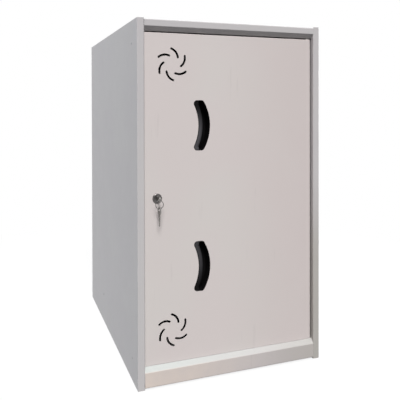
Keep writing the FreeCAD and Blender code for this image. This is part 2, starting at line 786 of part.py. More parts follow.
def make_door_skin():
    """The door pan: face, four returns and lips, with its vents, pulls and lock hole."""
    body = new_body("door_skin", y=s.door_recess)
    face = new_sketch(body, "XZ_Plane")
    draw_outline(face, rectangle(door_left, door_low, door_right, door_high))
    extrude(face, "Pad", s.door_depth, reverse=True)
    round_edges(body, s.door_edge_radius, lambda edge: lies_at(edge, 1, 0.0))

    wall = s.sheet
    hollow = new_sketch(body, "XZ_Plane", lift=-wall)
    draw_outline(hollow, rectangle(
        door_left + wall, door_low + wall, door_right - wall, door_high - wall))
    extrude(hollow, "Pocket", s.door_depth - 2 * wall)
    lip = s.door_lip
    mouth = new_sketch(body, "XZ_Plane", lift=wall - s.door_depth)
    draw_outline(mouth, rectangle(
        door_left + lip, door_low + lip, door_right - lip, door_high - lip, s.door_edge_radius))
    extrude(mouth, "Pocket", 2 * wall)

    lock_hole = new_sketch(body, "XZ_Plane")
    draw_circle(lock_hole, s.lock_x, door_middle, s.barrel_radius + s.barrel_clearance)
    extrude(lock_hole, "Pocket", 2 * wall)

    for level in pull_places.values():
        pull = new_sketch(body, "XZ_Plane", shift_x=s.pull_x, shift_y=level)
        pull_outline(pull)
        extrude(pull, "Pocket", 2 * wall)

    for level in vent_places:
        vent = new_sketch(body, "XZ_Plane", shift_x=s.vent_x, shift_y=level)
        vent_slot(vent)
        slot = extrude(vent, "Pocket", 2 * wall)
        pattern = body.newObject("PartDesign::PolarPattern", body.Name + "_pinwheel")
        pattern.Originals = [slot]
        pattern.Axis = (vent, ["N_Axis"])
        pattern.Angle = 360
        bind(pattern, "Occurrences", s.vent_slots)
        body.Tip = pattern
        doc.recompute()

    pivots = new_sketch(body, "XY_Plane", lift=door_middle)
    draw_circle(pivots, pivot_x, s.pivot_setback, bush_hole)
    extrude(pivots, "Pocket", 2 * s.height, both_ways=True)


def make_stiffener():
    """A hat channel behind the door's face, on the hinge side."""
    body = new_body("door_stiffener", door_right - s.stiffener_from_hinge, skin_back)
    crown = s.stiffener_width / 2
    foot = crown + s.stiffener_flange
    wall = s.sheet
    half = [
        (foot, ZERO),
        (crown - wall, ZERO),
        (crown - wall, s.stiffener_depth - wall),
    ]
    back = [
        (crown, s.stiffener_depth),
        (crown, wall),
        (foot, wall),
    ]
    mirrored_half = [(-x, y) for x, y in reversed(half)]
    mirrored_back = [(-x, y) for x, y in reversed(back)]
    low = door_low + s.stiffener_end_gap
    hat = new_sketch(body, "XY_Plane", lift=low)
    draw_outline(hat, half + mirrored_half + mirrored_back + back)
    extrude(hat, "Pad", door_high - s.stiffener_end_gap - low)


def roll_lip(body):
    """Round a cup's lip down towards the mouth, about the axis of its inner arc."""
    angle = s.lip_roll_angle
    run = s.lip_roll_radius * angle.sin() / (1 + angle.cos())
    mouth = s.pull_inner_radius + s.lip_rim + s.lip_width
    crest = mouth - s.lip_roll_radius * angle.sin()
    edge = mouth + s.lip_rim
    roll = new_sketch(body, "XY_Plane", shift_x=pull_axis)
    draw_outline(roll, [
        (crest - s.cup_wall, -s.cup_wall),
        (edge, -s.cup_wall),
        (edge, (edge - crest - run) * angle.sin() / angle.cos()),
        (crest + run, ZERO, s.lip_roll_radius),
        (crest - s.cup_wall, ZERO),
    ])
    groove = body.newObject("PartDesign::Groove", body.Name + "_roll")
    groove.Profile = roll
    groove.ReferenceAxis = (roll, ["V_Axis"])
    groove.Midplane = True
    bind(groove, "Angle", s.lip_roll_sweep)
    doc.recompute()


def make_pull_cup(label, level):
    """A moulded finger cup behind the door's face, with its flange and the lip that fingers hook behind."""
    body = new_body(label, s.pull_x, skin_back, level)
    depth = s.cup_depth - s.sheet
    floor = depth - s.cup_wall
    layers = (
        ("Pad", (s.cup_wall,), ZERO, depth),
        ("Pad", (s.cup_flange,), ZERO, s.cup_wall),
        ("Pocket", (-s.lip_rim, s.lip_width, s.lip_corner), ZERO, s.lip_thickness),
        ("Pocket", (ZERO,), s.lip_thickness, floor - s.lip_thickness),
    )
    for kind, outline, start, length in layers:
        sketch = new_sketch(body, "XZ_Plane", lift=-start)
        pull_outline(sketch, *outline)
        extrude(sketch, kind, length, reverse=(kind == "Pad"))
    round_edges(body, s.cup_floor_radius, lambda edge: lies_at(edge, 1, floor.value))
    roll_lip(body)


# Pivots

def make_pivots():
    """Shouldered pins in the rails, and flanged bushes in the door's top and bottom returns."""
    seat = s.door_gap_bottom - s.bush_flange - s.pivot_seat_clearance
    upper_pin = [
        (ZERO, s.sheet + s.pin_head),
        (s.pin_head_radius, s.sheet + s.pin_head),
        (s.pin_head_radius, s.sheet),
        (s.pin_radius, s.sheet),
        (s.pin_radius, -s.door_gap_top - s.pin_engagement),
        (ZERO, -s.door_gap_top - s.pin_engagement),
    ]
    lower_pin = [
        (ZERO, -s.sheet - s.pin_head),
        (s.pin_head_radius, -s.sheet - s.pin_head),
        (s.pin_head_radius, -s.sheet),
        (s.pin_radius, -s.sheet),
        (s.pin_radius, ZERO),
        (s.pin_head_radius, ZERO),
        (s.pin_head_radius, seat),
        (s.pin_radius, seat),
        (s.pin_radius, s.door_gap_bottom + s.pin_engagement),
        (ZERO, s.door_gap_bottom + s.pin_engagement),
    ]
    for label, level, outline in (
            ("upper_pivot_pin", soffit, upper_pin), ("lower_pivot_pin", ledge, lower_pin)):
        profile = new_sketch(new_body(label, pivot_x, pivot_y, level), "XZ_Plane")
        draw_outline(profile, outline)
        revolve(profile)
    for label, level, outward in (("upper_pivot_bush", door_high, 1), ("lower_pivot_bush", door_low, -1)):
        profile = new_sketch(new_body(label, pivot_x, pivot_y, level), "XZ_Plane")
        draw_outline(profile, [
            (bush_bore, outward * s.bush_flange),
            (s.bush_flange_radius, outward * s.bush_flange),
            (s.bush_flange_radius, ZERO),
            (bush_radius, ZERO),
            (bush_radius, -outward * s.bush_length),
            (bush_bore, -outward * s.bush_length),
        ])
        revolve(profile)


# Cam lock, drawn about its own axis from the door's front face

def lock_body(label):
    """A body on the lock's axis, at the door's face."""
    return new_body(label, s.lock_x, s.door_recess, door_middle)


def make_lock_housing():
    """Bezel and barrel with the plug's bore."""
    body = lock_body("lock_housing")
    bore = s.plug_radius + s.plug_running_clearance
    head_bore = s.plug_head_radius + s.plug_running_clearance
    profile = new_sketch(body, "XY_Plane")
    draw_outline(profile, [
        (head_bore, -s.bezel_rise),
        (s.bezel_radius - s.bezel_chamfer, -s.bezel_rise),
        (s.bezel_radius, -s.bezel_rise + s.bezel_chamfer),
        (s.bezel_radius, ZERO),
        (s.barrel_radius, ZERO),
        (s.barrel_radius, barrel_back),
        (bore, barrel_back),
        (bore, s.plug_head - s.bezel_rise),
        (head_bore, s.plug_head - s.bezel_rise),
    ])
    revolve(profile)


def make_lock_fixings():
    """Spring washer and hexagon nut behind the door's face."""
    washer_front = s.sheet
    nut_front = washer_front + s.washer_thickness
    hole = s.barrel_radius + s.barrel_clearance
    washer = new_sketch(lock_body("lock_washer"), "XZ_Plane", lift=-washer_front)
    draw_circle(washer, ZERO, ZERO, s.washer_radius)
    draw_circle(washer, ZERO, ZERO, hole)
    extrude(washer, "Pad", s.washer_thickness, reverse=True)
    nut = new_sketch(lock_body("lock_nut"), "XZ_Plane", lift=-nut_front)
    reach = s.nut_across_flats / math.sqrt(3)
    draw_outline(nut, [
        (reach * math.cos(math.radians(angle)), reach * math.sin(math.radians(angle)))
        for angle in range(0, 360, 60)
    ])
    draw_circle(nut, ZERO, ZERO, hole)
    extrude(nut, "Pad", s.nut_thickness, reverse=True)


def make_lock_plug():
    """The turning plug: head, keyway, wafer slots, square drive and screw hole."""
    body = lock_body("lock_plug")
    profile = new_sketch(body, "XY_Plane")
    head_back = s.plug_head - s.bezel_rise - s.plug_running_clearance
    draw_outline(profile, [
        (ZERO, -s.bezel_rise),
        (s.plug_head_radius, -s.bezel_rise),
        (s.plug_head_radius, head_back),
        (s.plug_radius, head_back),
        (s.plug_radius, cam_front),
        (ZERO, cam_front),
    ])
    revolve(profile)
    half = s.drive_square / 2
    drive = new_sketch(body, "XZ_Plane", lift=-cam_front)
    draw_outline(drive, rectangle(-half, -half, half, half))
    extrude(drive, "Pad", s.cam_thickness, reverse=True)
    screw = new_sketch(body, "XZ_Plane", lift=-cam_back)
    draw_circle(screw, ZERO, ZERO, s.cam_screw_radius + s.cam_screw_clearance)
    extrude(screw, "Pocket", s.cam_screw_length + s.cam_screw_clearance, reverse=True)
    half_x = s.key_thickness / 2 + s.keyway_clearance
    half_z = s.key_blade_width / 2 + s.keyway_clearance
    keyway = new_sketch(body, "XZ_Plane", lift=s.bezel_rise)
    draw_outline(keyway, rectangle(-half_x, -half_z, half_x, half_z))
    extrude(keyway, "Pocket", s.key_insertion + s.keyway_clearance)
    slot_x = s.wafer_width / 2 + s.wafer_clearance
    slots = new_sketch(body, "XZ_Plane", lift=-s.wafer_start + s.wafer_clearance)
    draw_outline(slots, rectangle(-slot_x, -s.plug_head_radius, slot_x, s.plug_head_radius))
    slot = extrude(slots, "Pocket", s.wafer_thickness + 2 * s.wafer_clearance)
    row = repeat_line(slot, "N_Axis", s.wafer_pitch * (s.wafer_count - 1), int(s.wafer_count.value))
    row.Reversed = True
    doc.recompute()


def make_wafers():
    """Flat wafers across the plug, each with a window for the key's blade."""
    body = lock_body("lock_wafers")
    half_x = s.wafer_width / 2
    half_z = (s.plug_radius * s.plug_radius - half_x * half_x).root()
    window_x = s.key_thickness / 2 + s.keyway_clearance
    window_z = s.key_blade_width / 2 + s.keyway_clearance
    plate = new_sketch(body, "XZ_Plane", lift=-s.wafer_start)
    draw_outline(plate, rectangle(-half_x, -half_z, half_x, half_z))
    draw_outline(plate, rectangle(-window_x, -window_z, window_x, window_z))
    wafer = extrude(plate, "Pad", s.wafer_thickness, reverse=True)
    row = repeat_line(wafer, "N_Axis", s.wafer_pitch * (s.wafer_count - 1), int(s.wafer_count.value))
    row.Reversed = True
    doc.recompute()


def make_cam():
    """The cam plate, pointing down while unlocked, and its screw."""
    half = s.cam_width / 2
    hole = s.drive_square / 2 + s.drive_clearance
    plate = new_sketch(lock_body("lock_cam"), "XZ_Plane", lift=-cam_front)
    draw_outline(plate, rectangle(-half, -s.cam_reach, half, half, s.cam_corner))
    draw_outline(plate, rectangle(-hole, -hole, hole, hole))
    extrude(plate, "Pad", s.cam_thickness, reverse=True)
    screw = new_sketch(lock_body("cam_screw"), "XY_Plane")
    draw_outline(screw, [
        (ZERO, cam_back - s.cam_screw_length),
        (s.cam_screw_radius, cam_back - s.cam_screw_length),
        (s.cam_screw_radius, cam_back),
        (s.cam_screw_head_radius, cam_back),
        (s.cam_screw_head_radius, cam_back + s.cam_screw_head),
        (ZERO, cam_back + s.cam_screw_head),
    ])
    revolve(screw)


# Keys. A key lies in its body's YZ plane with its blade along +Y and its shoulder at y = 0.

def make_key(label, x, y, z, rotation=Rotation()):
    """A flat key: bow with a ring hole, neck, and a blade with cuts along its lower edge."""
    body = new_body(label, x, y, z, rotation)
    blade = s.key_blade_width / 2
    neck = s.key_neck_width / 2
    bow = s.key_bow_width / 2
    cut = s.key_cut_depth
    tip = s.key_insertion - blade
    pitch = s.wafer_pitch
    outline = [
        (-key_reach, -bow, s.key_bow_corner),
        (-s.key_neck, -bow, s.key_bow_corner),
        (-s.key_neck, -neck),
        (ZERO, -neck),
        (ZERO, -blade),
    ]
    for index in range(int(s.wafer_count.value)):
        middle = s.bezel_rise + s.wafer_start + s.wafer_thickness / 2 + index * pitch
        outline += [
            (middle - pitch / 3, -blade),
            (middle, cut - blade),
            (middle + pitch / 3, -blade),
        ]
    outline += [
        (tip, -blade),
        (s.key_insertion, ZERO),
        (tip, blade),
        (ZERO, blade),
        (ZERO, neck),
        (-s.key_neck, neck),
        (-s.key_neck, bow, s.key_bow_corner),
        (-key_reach, bow, s.key_bow_corner),
    ]
    flat = new_sketch(body, "YZ_Plane")
    draw_outline(flat, outline)
    extrude(flat, "Pad", s.key_thickness, both_ways=True)
    hole = new_sketch(body, "YZ_Plane")
    draw_circle(hole, -key_hole_y, ZERO, s.key_hole_radius)
    extrude(hole, "Pocket", 2 * s.key_thickness, both_ways=True)


def make_keys():
    """The key in the lock, the ring through its bow, and the spare key hanging from the ring."""
    make_key("key_in_lock", s.lock_x, lock_front, door_middle)
    ring = doc.addObject("Part::Torus", "key_ring")
    ring.Label = "key_ring"
    bind(ring, "Radius1", s.ring_radius)
    bind(ring, "Radius2", s.ring_wire_radius)
    place(ring, s.lock_x, ring_front, ring_middle, Rotation(Vector(1, 0, 0), 90))
    pieces.append(ring)
    hang = Rotation(Vector(0, 0, 1), s.spare_key_yaw.value) * Rotation(Vector(1, 0, 0), -90)
    make_key("spare_key", s.lock_x, ring_front, spare_hole - key_hole_y, hang)


def main():
    """Build every piece, check it, and write it as a STEP file of its own."""
    make_side_panel("left_side_panel", 1, ZERO)
    make_side_panel("right_side_panel", -1, s.width)
    make_tray("top_panel", top_face, s.bend_radius)
    make_header_rail()
    make_tray("floor_panel", floor_top, jamb_depth + 2 * s.sheet)
    make_sill_rail()
    make_back_panel()
    make_stop_post("left_stop_post", 1, ZERO, with_buffers=True)
    make_stop_post("right_stop_post", -1, s.width, with_buffers=False)
    make_rivets()
    make_buffers()
    make_door_skin()
    make_stiffener()
    for name, level in pull_places.items():
        make_pull_cup(f"{name}_pull_cup", level)
    make_pivots()
    make_lock_housing()
    make_lock_fixings()
    make_lock_plug()
    make_wafers()
    make_cam()
    make_keys()

    doc.recompute()
    for obj in doc.Objects:
        if "Invalid" in obj.State or "Error" in obj.State:
            raise RuntimeError(f"{obj.Label} failed: {obj.State}")
    for piece in pieces:
        if piece.Shape.isNull() or not piece.Shape.isValid():
            raise RuntimeError(f"{piece.Label} has no valid shape")

    os.makedirs("parts", exist_ok=True)
    for piece in pieces:
        piece.Shape.exportStep(f"parts/{piece.Label}.step")
        box = piece.Shape.BoundBox
        print(f"{piece.Label}: {len(piece.Shape.Solids)} solid(s), volume {piece.Shape.Volume:.0f} mm3, "
              f"box {box.XLength:.1f} x {box.YLength:.1f} x {box.ZLength:.1f} mm")


main()
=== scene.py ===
"""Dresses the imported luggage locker: its finishes, fine pieces, studio and camera.

Places are metres in the part's own frame: X to the right, Y into the cabinet, Z up. The door faces -Y.
Outlines, profiles and the sizes that they are drawn from are millimetres. Angles in fields are degrees.
"""

import logging
import math
from collections.abc import Iterable, Sequence
from dataclasses import dataclass
from enum import Enum
from typing import Any, Union

import bmesh
import bpy
from mathutils import Matrix, Vector


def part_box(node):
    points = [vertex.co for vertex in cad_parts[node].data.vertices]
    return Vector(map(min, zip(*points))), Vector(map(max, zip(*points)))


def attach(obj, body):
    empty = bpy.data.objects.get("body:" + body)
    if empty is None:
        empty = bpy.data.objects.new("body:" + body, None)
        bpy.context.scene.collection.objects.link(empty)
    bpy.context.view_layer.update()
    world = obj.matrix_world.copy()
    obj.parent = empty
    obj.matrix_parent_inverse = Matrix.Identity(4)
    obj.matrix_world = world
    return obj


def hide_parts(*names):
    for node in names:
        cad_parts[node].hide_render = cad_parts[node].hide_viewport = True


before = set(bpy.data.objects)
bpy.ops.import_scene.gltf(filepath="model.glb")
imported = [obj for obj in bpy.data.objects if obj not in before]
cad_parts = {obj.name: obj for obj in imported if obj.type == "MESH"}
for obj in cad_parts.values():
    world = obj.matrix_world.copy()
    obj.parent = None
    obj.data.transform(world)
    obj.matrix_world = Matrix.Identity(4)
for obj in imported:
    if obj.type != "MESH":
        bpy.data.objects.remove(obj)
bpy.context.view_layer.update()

MM = 0.001
# Faces that meet at less than this angle, in degrees, shade as one.
SMOOTH_UP_TO = 32.0
# Points nearer than this are one point: on a mesh in metres, on an outline in millimetres.
SAME_ON_MESH = 1e-7
SAME_ON_OUTLINE = 1e-4
# How far in the middle of an eased edge lies, as a share of the edge's width.
EASE_SHARE = 0.3
# Where the edge mask of a finish starts and where it is full.
EDGE_STEP = (0.02, 0.25)

Colour = tuple[float, float, float]
Point = tuple[float, float, float]
Corner = tuple[float, float, float]
Pair = tuple[float, float]
Span = tuple[float, float]
Outline = Sequence[Pair]
Loop = Sequence[Vector]
Value = Union["Wire", float, Sequence[float]]
log = logging.getLogger("locker")


def tone(red: int, green: int, blue: int) -> Colour:
    """Turns a colour as a screen shows it into the linear colour that a shader takes.

    Args:
        red: Share of red, from 0 to 255.
        green: Share of green, from 0 to 255.
        blue: Share of blue, from 0 to 255.

    Returns:
        The linear colour, each share from 0 to 1.
    """
    shares = (share / 255 for share in (red, green, blue))
    return tuple(s / 12.92 if s <= 0.04045 else ((s + 0.055) / 1.055) ** 2.4 for s in shares)


class Body(Enum):
    """The bodies that pieces ride on."""

    CABINET = "cabinet"
    DOOR = "door"
    LOCK_CORE = "lock_core"
    RING = "ring"
    SPARE = "spare"


class Slot(Enum):
    """The part's material slots."""

    CABINET_PAINT = "cabinet_paint"
    DOOR_PAINT = "door_paint"
    RIVET_PAINT = "rivet_paint"
    BUFFER_RUBBER = "buffer_rubber"
    PULL_PLASTIC = "pull_plastic"
    BUSH_NYLON = "bush_nylon"
    LOCK_CHROME = "lock_chrome"
    ZINC_STEEL = "zinc_steel"
    WAFER_BRASS = "wafer_brass"
    KEY_STEEL = "key_steel"
    RING_STEEL = "ring_steel"


Materials = dict[Slot, bpy.types.Material]
SlotNodes = tuple[tuple[Slot, tuple[str, ...]], ...]


class Wire:
    """A node's output that can stand in a sum, a difference or a product."""

    def __init__(self, tree: "Tree", socket: bpy.types.NodeSocket | None) -> None:
        """Keeps the socket and the tree that it belongs to."""
        self.tree = tree
        self.socket = socket

    def _maths(self, operation: str, *terms: Value) -> "Wire":
        """Adds a Math node that works on the terms in order, and returns the wire of its result."""
        return self.tree.add("ShaderNodeMath", {"operation": operation}, dict(enumerate(terms)))

    def __add__(self, other: Value) -> "Wire":
        """self + other"""
        return self._maths("ADD", self, other)

    def __radd__(self, other: Value) -> "Wire":
        """other + self"""
        return self._maths("ADD", other, self)

    def __sub__(self, other: Value) -> "Wire":
        """self - other"""
        return self._maths("SUBTRACT", self, other)

    def __rsub__(self, other: Value) -> "Wire":
        """other - self"""
        return self._maths("SUBTRACT", other, self)

    def __mul__(self, other: Value) -> "Wire":
        """self * other"""
        return self._maths("MULTIPLY", self, other)

    def __rmul__(self, other: Value) -> "Wire":
        """other * self"""
        return self._maths("MULTIPLY", other, self)

    def root(self) -> "Wire":
        """The value's square root."""
        return self._maths("SQRT", self)

    def size(self) -> "Wire":
        """The value without its sign."""
        return self._maths("ABSOLUTE", self)

    def at_most_one(self) -> "Wire":
        """The value, held between 0 and 1."""
        return self.tree.add("ShaderNodeClamp", {}, {"Value": self})


class Tree:
    """The nodes of one material or of the world, grown one node at a time."""

    def __init__(self, owner: bpy.types.Material | bpy.types.World) -> None:
        """Empties the owner's node tree.

        Args:
            owner: The material or world whose nodes are made.
        """
        owner.use_nodes = True
        self.nodes = owner.node_tree.nodes
        self.links = owner.node_tree.links
        self.nodes.clear()

    def add(
        self,
        kind: str,
        settings: dict[str, Any],
        sockets: dict[str | int, Value],
        output: str | int = 0,
    ) -> Wire:
        """Adds a node, sets it up and links it.

        Args:
            kind: The node's type.
            settings: Its properties, set first.
            sockets: Values or wires for its inputs, by name or number.
            output: The output that the wire leaves from.

        Returns:
            The wire of that output, which is empty for a node that ends the tree.
        """
        node = self.nodes.new(kind)
        for name, value in settings.items():
            setattr(node, name, value)
        for name, value in sockets.items():
            socket = node.inputs[name]
            if isinstance(value, Wire):
                self.links.new(value.socket, socket)
            else:
                short = socket.type == "RGBA" and len(value) == 3
                socket.default_value = (*value, 1.0) if short else value
        return Wire(self, node.outputs[output] if len(node.outputs) else None)

    def place(self, stretch: Point = (1.0, 1.0, 1.0)) -> Wire:
        """Where a point is on its piece, in metres; a small stretch draws a pattern out along its axis."""
        here = self.add("ShaderNodeTexCoord", {}, {}, "Object")
        return self.add("ShaderNodeVectorMath", {"operation": "MULTIPLY"}, {0: here, 1: stretch})

    def along(self, axis: str) -> Wire:
        """How far along X, Y or Z a point of the piece is, in metres."""
        here = self.add("ShaderNodeTexCoord", {}, {}, "Object")
        return self.add("ShaderNodeSeparateXYZ", {}, {0: here}, axis)

    def clouds(self, size: float, detail: float = 2.0, stretch: Point = (1.0, 1.0, 1.0)) -> Wire:
        """Soft noise from about 0.25 to 0.75, with patches of a size in metres and layers of finer detail."""
        sockets = {"Vector": self.place(stretch), "Scale": 1.0 / size, "Detail": detail}
        return self.add("ShaderNodeTexNoise", {}, sockets)

    def step(self, value: Wire, low: float, high: float) -> Wire:
        """A soft step of a value, from 0 below low to 1 above high."""
        sockets = {"Value": value, "From Min": low, "From Max": high}
        return self.add("ShaderNodeMapRange", {"interpolation_type": "SMOOTHSTEP"}, sockets)

    def mix(self, share: Value, first: Value, second: Value) -> Wire:
        """A colour between two, from the first at a share of 0 to the second at 1."""
        # A Mix node has sockets for each type; those of its colours are 6 and 7, and output 2.
        return self.add("ShaderNodeMix", {"data_type": "RGBA"}, {0: share, 6: first, 7: second}, 2)

    def edges(self, radius: float) -> Wire:
        """How near a point is to a sharp edge.

        Args:
            radius: How far the edge reaches, in metres.

        Returns:
            The wire of a value from 0 on the flat to 1 on a square edge.
        """
        eased = self.add("ShaderNodeBevel", {"samples": 4}, {"Radius": radius})
        plain = self.add("ShaderNodeNewGeometry", {}, {}, "Normal")
        normals = {0: eased, 1: plain}
        alike = self.add("ShaderNodeVectorMath", {"operation": "DOT_PRODUCT"}, normals, "Value")
        return self.step((1.0 - alike).at_most_one(), *EDGE_STEP)

    def bump(self, height: Wire, rise: float, below: Wire | None = None) -> Wire:
        """Raises the surface where a value is high.

        Args:
            height: The value, from 0 to 1.
            rise: The height at 1 in metres.
            below: A coarser bump that this one lies on.

        Returns:
            The wire of the normal.
        """
        sockets: dict[str | int, Value] = {"Strength": 1.0, "Distance": rise, "Height": height}
        if below is not None:
            sockets["Normal"] = below
        return self.add("ShaderNodeBump", {}, sockets)

    def end(self, **sockets: Value) -> None:
        """Ends a material with a Principled shader.

        Args:
            sockets: The shader's inputs, with an underscore for each space in their names.
        """
        named = {name.replace("_", " "): value for name, value in sockets.items()}
        shader = self.add("ShaderNodeBsdfPrincipled", {}, named)
        self.add("ShaderNodeOutputMaterial", {}, {"Surface": shader})


@dataclass(frozen=True)
class Finish:
    """What every finish has: a name and the colour that it is written in."""

    name: str
    colour: Colour

    def material(self) -> bpy.types.Material:
        """Makes the finish's material.

        Returns:
            The material, with its nodes in place.
        """
        made = bpy.data.materials.new(self.name)
        self.coat(Tree(made))
        return made

    def coat(self, tree: Tree) -> None:
        """Grows the finish's nodes in its material's empty tree; each kind of finish has its own."""
        raise NotImplementedError


@dataclass(frozen=True)
class PowderCoat(Finish):
    """Satin powder coat on sheet steel, with orange peel, broad clouds, paler edges that are partly wear and
    partly painted highlight, fine scuffs, and painted shade towards the right and low down.
    """

    cloud: Colour
    roughness: float = 0.46
    gloss_patch: float = 30 * MM
    gloss_change: float = 0.12
    specular: float = 0.28
    cloud_size: float = 0.22
    cloud_step: Span = (0.36, 0.66)
    cloud_share: float = 0.5
    peel_size: float = 2.4 * MM
    peel_rise: float = 0.012 * MM
    sheet_wave: float = 0.35
    wave_rise: float = 0.8 * MM
    edge_reach: float = 1.6 * MM
    edge_share: float = 0.55
    edge_patch: float = 18 * MM
    edge_lift: float = 0.35
    edge_gloss: float = 0.08
    scuff_size: float = 9 * MM
    scuff_draw: Point = (1.0, 1.0, 0.06)
    scuff_step: Span = (0.62, 0.70)
    scuff_share: float = 0.10
    scuff_shade: float = 0.6
    scuffed_patch: float = 0.09
    scuffed_step: Span = (0.52, 0.68)
    # Painted shade: its colour, and where and how patchily it darkens the front.
    painted_shade: Colour = (0.5, 0.5, 0.5)
    shade_across: Span = (0.02, 0.25)
    shade_below: Span = (0.2, 0.55)
    shade_behind: Span = (-0.33, -0.31)
    shade_patch: float = 0.12
    shade_even: float = 0.7
    shade_cloud: float = 0.6

    def paint_shading(self, tree: Tree, colour: Wire) -> Wire:
        """Paints shade into the front's colour towards the right, below a height: painted shade.

        Args:
            tree: The material's tree.
            colour: The clean paint's colour.

        Returns:
            The wire of the colour with its painted shade.
        """
        # Painted shade: the front darkens towards the right and below a height, in cloudy patches.
        right = tree.step(tree.along("X"), *self.shade_across)
        low = 1.0 - tree.step(tree.along("Z"), *self.shade_below)
        front = 1.0 - tree.step(tree.along("Y"), *self.shade_behind)
        patches = self.shade_even + self.shade_cloud * tree.clouds(self.shade_patch, detail=3.0)
        return tree.mix((right * low * front * patches).at_most_one(), colour, self.painted_shade)

    def coat(self, tree: Tree) -> None:
        """Grows the nodes of the powder coat.

        Args:
            tree: The empty tree of its material.
        """
        broad = tree.step(tree.clouds(self.cloud_size, detail=1.0), *self.cloud_step)
        # Painted shade is mixed into the clouded colour here.
        colour = self.paint_shading(tree, tree.mix(broad * self.cloud_share, self.colour, self.cloud))
        # Paler sharp edges: partly edge wear, partly painted highlight.
        paling = tree.edges(self.edge_reach) * self.edge_share
        pale = tuple(self.edge_lift + (1.0 - self.edge_lift) * share for share in self.colour)
        colour = tree.mix(paling * tree.clouds(self.edge_patch, detail=3.0), colour, pale)
        drawn = tree.clouds(self.scuff_size, detail=4.0, stretch=self.scuff_draw)
        sparse = tree.step(tree.clouds(self.scuffed_patch), *self.scuffed_step)
        scuffs = tree.step(drawn, *self.scuff_step) * sparse * self.scuff_share
        colour = tree.mix(scuffs, colour, tuple(self.scuff_shade * share for share in self.colour))
        gloss = self.gloss_change * (tree.clouds(self.gloss_patch, detail=3.0) - 0.5)
        roughness = self.roughness + gloss - self.edge_gloss * paling
        wave = tree.bump(tree.clouds(self.sheet_wave, detail=0.0), self.wave_rise)
        peel = tree.bump(tree.clouds(self.peel_size, detail=1.0), self.peel_rise, wave)
        tree.end(Base_Color=colour, Roughness=roughness, Specular_IOR_Level=self.specular, Normal=peel)


@dataclass(frozen=True)
class LitSillCoat(PowderCoat):
    """The sill rail's powder coat with painted light: paler on its slope above the kick plate, paler and
    warmer on the kick plate, most towards the left.
    """

    # Painted light: the colours and spans of the paler sill and the paler, warmer kick plate.
    kick_light: Colour = tone(215, 203, 194)
    sill_light: Colour = tone(192, 196, 193)
    sill_light_least: float = 0.35
    kick_top: Span = (39.5 * MM, 43.5 * MM)
    light_across: Span = (-0.26, 0.16)
    light_patch: float = 0.05
    light_least: float = 0.4

    def paint_shading(self, tree: Tree, colour: Wire) -> Wire:
        """Paints shade towards the right and low down, then paints light on the sill and the kick plate, less
        towards the right.

        Args:
            tree: The material's tree.
            colour: The clean paint's colour.

        Returns:
            The wire of the weathered colour.
        """
        # Painted light on the sill and the kick plate, strongest on the left.
        left = 1.0 - tree.step(tree.along("X"), *self.light_across)
        on_kick = 1.0 - tree.step(tree.along("Z"), *self.kick_top)
        shaded = super().paint_shading(tree, colour)
        paling = tree.mix(self.sill_light_least + (1.0 - self.sill_light_least) * left, shaded, self.sill_light)
        kick_lit = (left * (self.light_least + tree.clouds(self.light_patch))).at_most_one()
        return tree.mix(on_kick, paling, tree.mix(kick_lit, shaded, self.kick_light))


@dataclass(frozen=True)
class Plate(Finish):
    """Plated or bare metal, with drawn scratches, dull patches and dark spots."""

    roughness: float
    dull: Colour
    grain: float = 1.2 * MM
    drawn: Point = (1.0, 1.0, 1.0)
    scratch_rise: float = 0.006 * MM
    scratch_gloss: float = 0.12
    patch: float = 6 * MM
    patch_step: Span = (0.40, 0.62)
    patch_share: float = 0.5
    patch_gloss: float = 0.14
    edge_reach: float = 0.4 * MM
    edge_share: float = 0.7

    def coat(self, tree: Tree) -> None:
        """Grows the nodes of the plating.

        Args:
            tree: The empty tree of its material.
        """
        patches = tree.step(tree.clouds(self.patch, detail=3.0), *self.patch_step)
        lines = tree.clouds(self.grain, detail=3.0, stretch=self.drawn)
        kept = 1.0 - self.edge_share * tree.edges(self.edge_reach)
        dulled = (patches * self.patch_share * kept).at_most_one()
        colour = tree.mix(dulled, self.colour, self.dull)
        roughness = self.roughness + self.patch_gloss * patches + self.scratch_gloss * (lines - 0.5)
        scratched = tree.bump(lines, self.scratch_rise)
        tree.end(Base_Color=colour, Metallic=1.0, Roughness=roughness, Normal=scratched)


@dataclass(frozen=True)
class Moulding(Finish):
    """Moulded plastic or rubber with a spark-eroded grain and a bloom of handling."""

    paling: Colour
    roughness: float = 0.5
    specular: float = 0.5
    pale_gloss: float = 0.14
    grain: float = 0.9 * MM
    grain_rise: float = 0.03 * MM
    grain_gloss: float = 0.1
    bloom: float = 16 * MM
    bloom_step: Span = (0.38, 0.66)
    bloom_share: float = 0.4
    edge_reach: float = 0.8 * MM
    edge_share: float = 0.4

    def paling_mask(self, tree: Tree) -> Wire:
        """Finds where hands have worn the moulding.

        Args:
            tree: The material's tree.

        Returns:
            The wire of a value from 0 where it is untouched to 1 where it is worn.
        """
        bloom = tree.step(tree.clouds(self.bloom, detail=3.0), *self.bloom_step)
        worn = tree.edges(self.edge_reach)
        return (bloom * self.bloom_share + worn * self.edge_share).at_most_one()

    def coat(self, tree: Tree) -> None:
        """Grows the nodes of the moulding.

        Args:
            tree: The empty tree of its material.
        """
        # On the pulls, this share is painted light on the lip.
        pale_share = self.paling_mask(tree)
        grain = tree.clouds(self.grain)
        colour = tree.mix(pale_share, self.colour, self.paling)
        roughness = self.roughness - self.pale_gloss * pale_share + self.grain_gloss * (grain - 0.5)
        normal = tree.bump(grain, self.grain_rise)
        tree.end(Base_Color=colour, Roughness=roughness, Specular_IOR_Level=self.specular, Normal=normal)


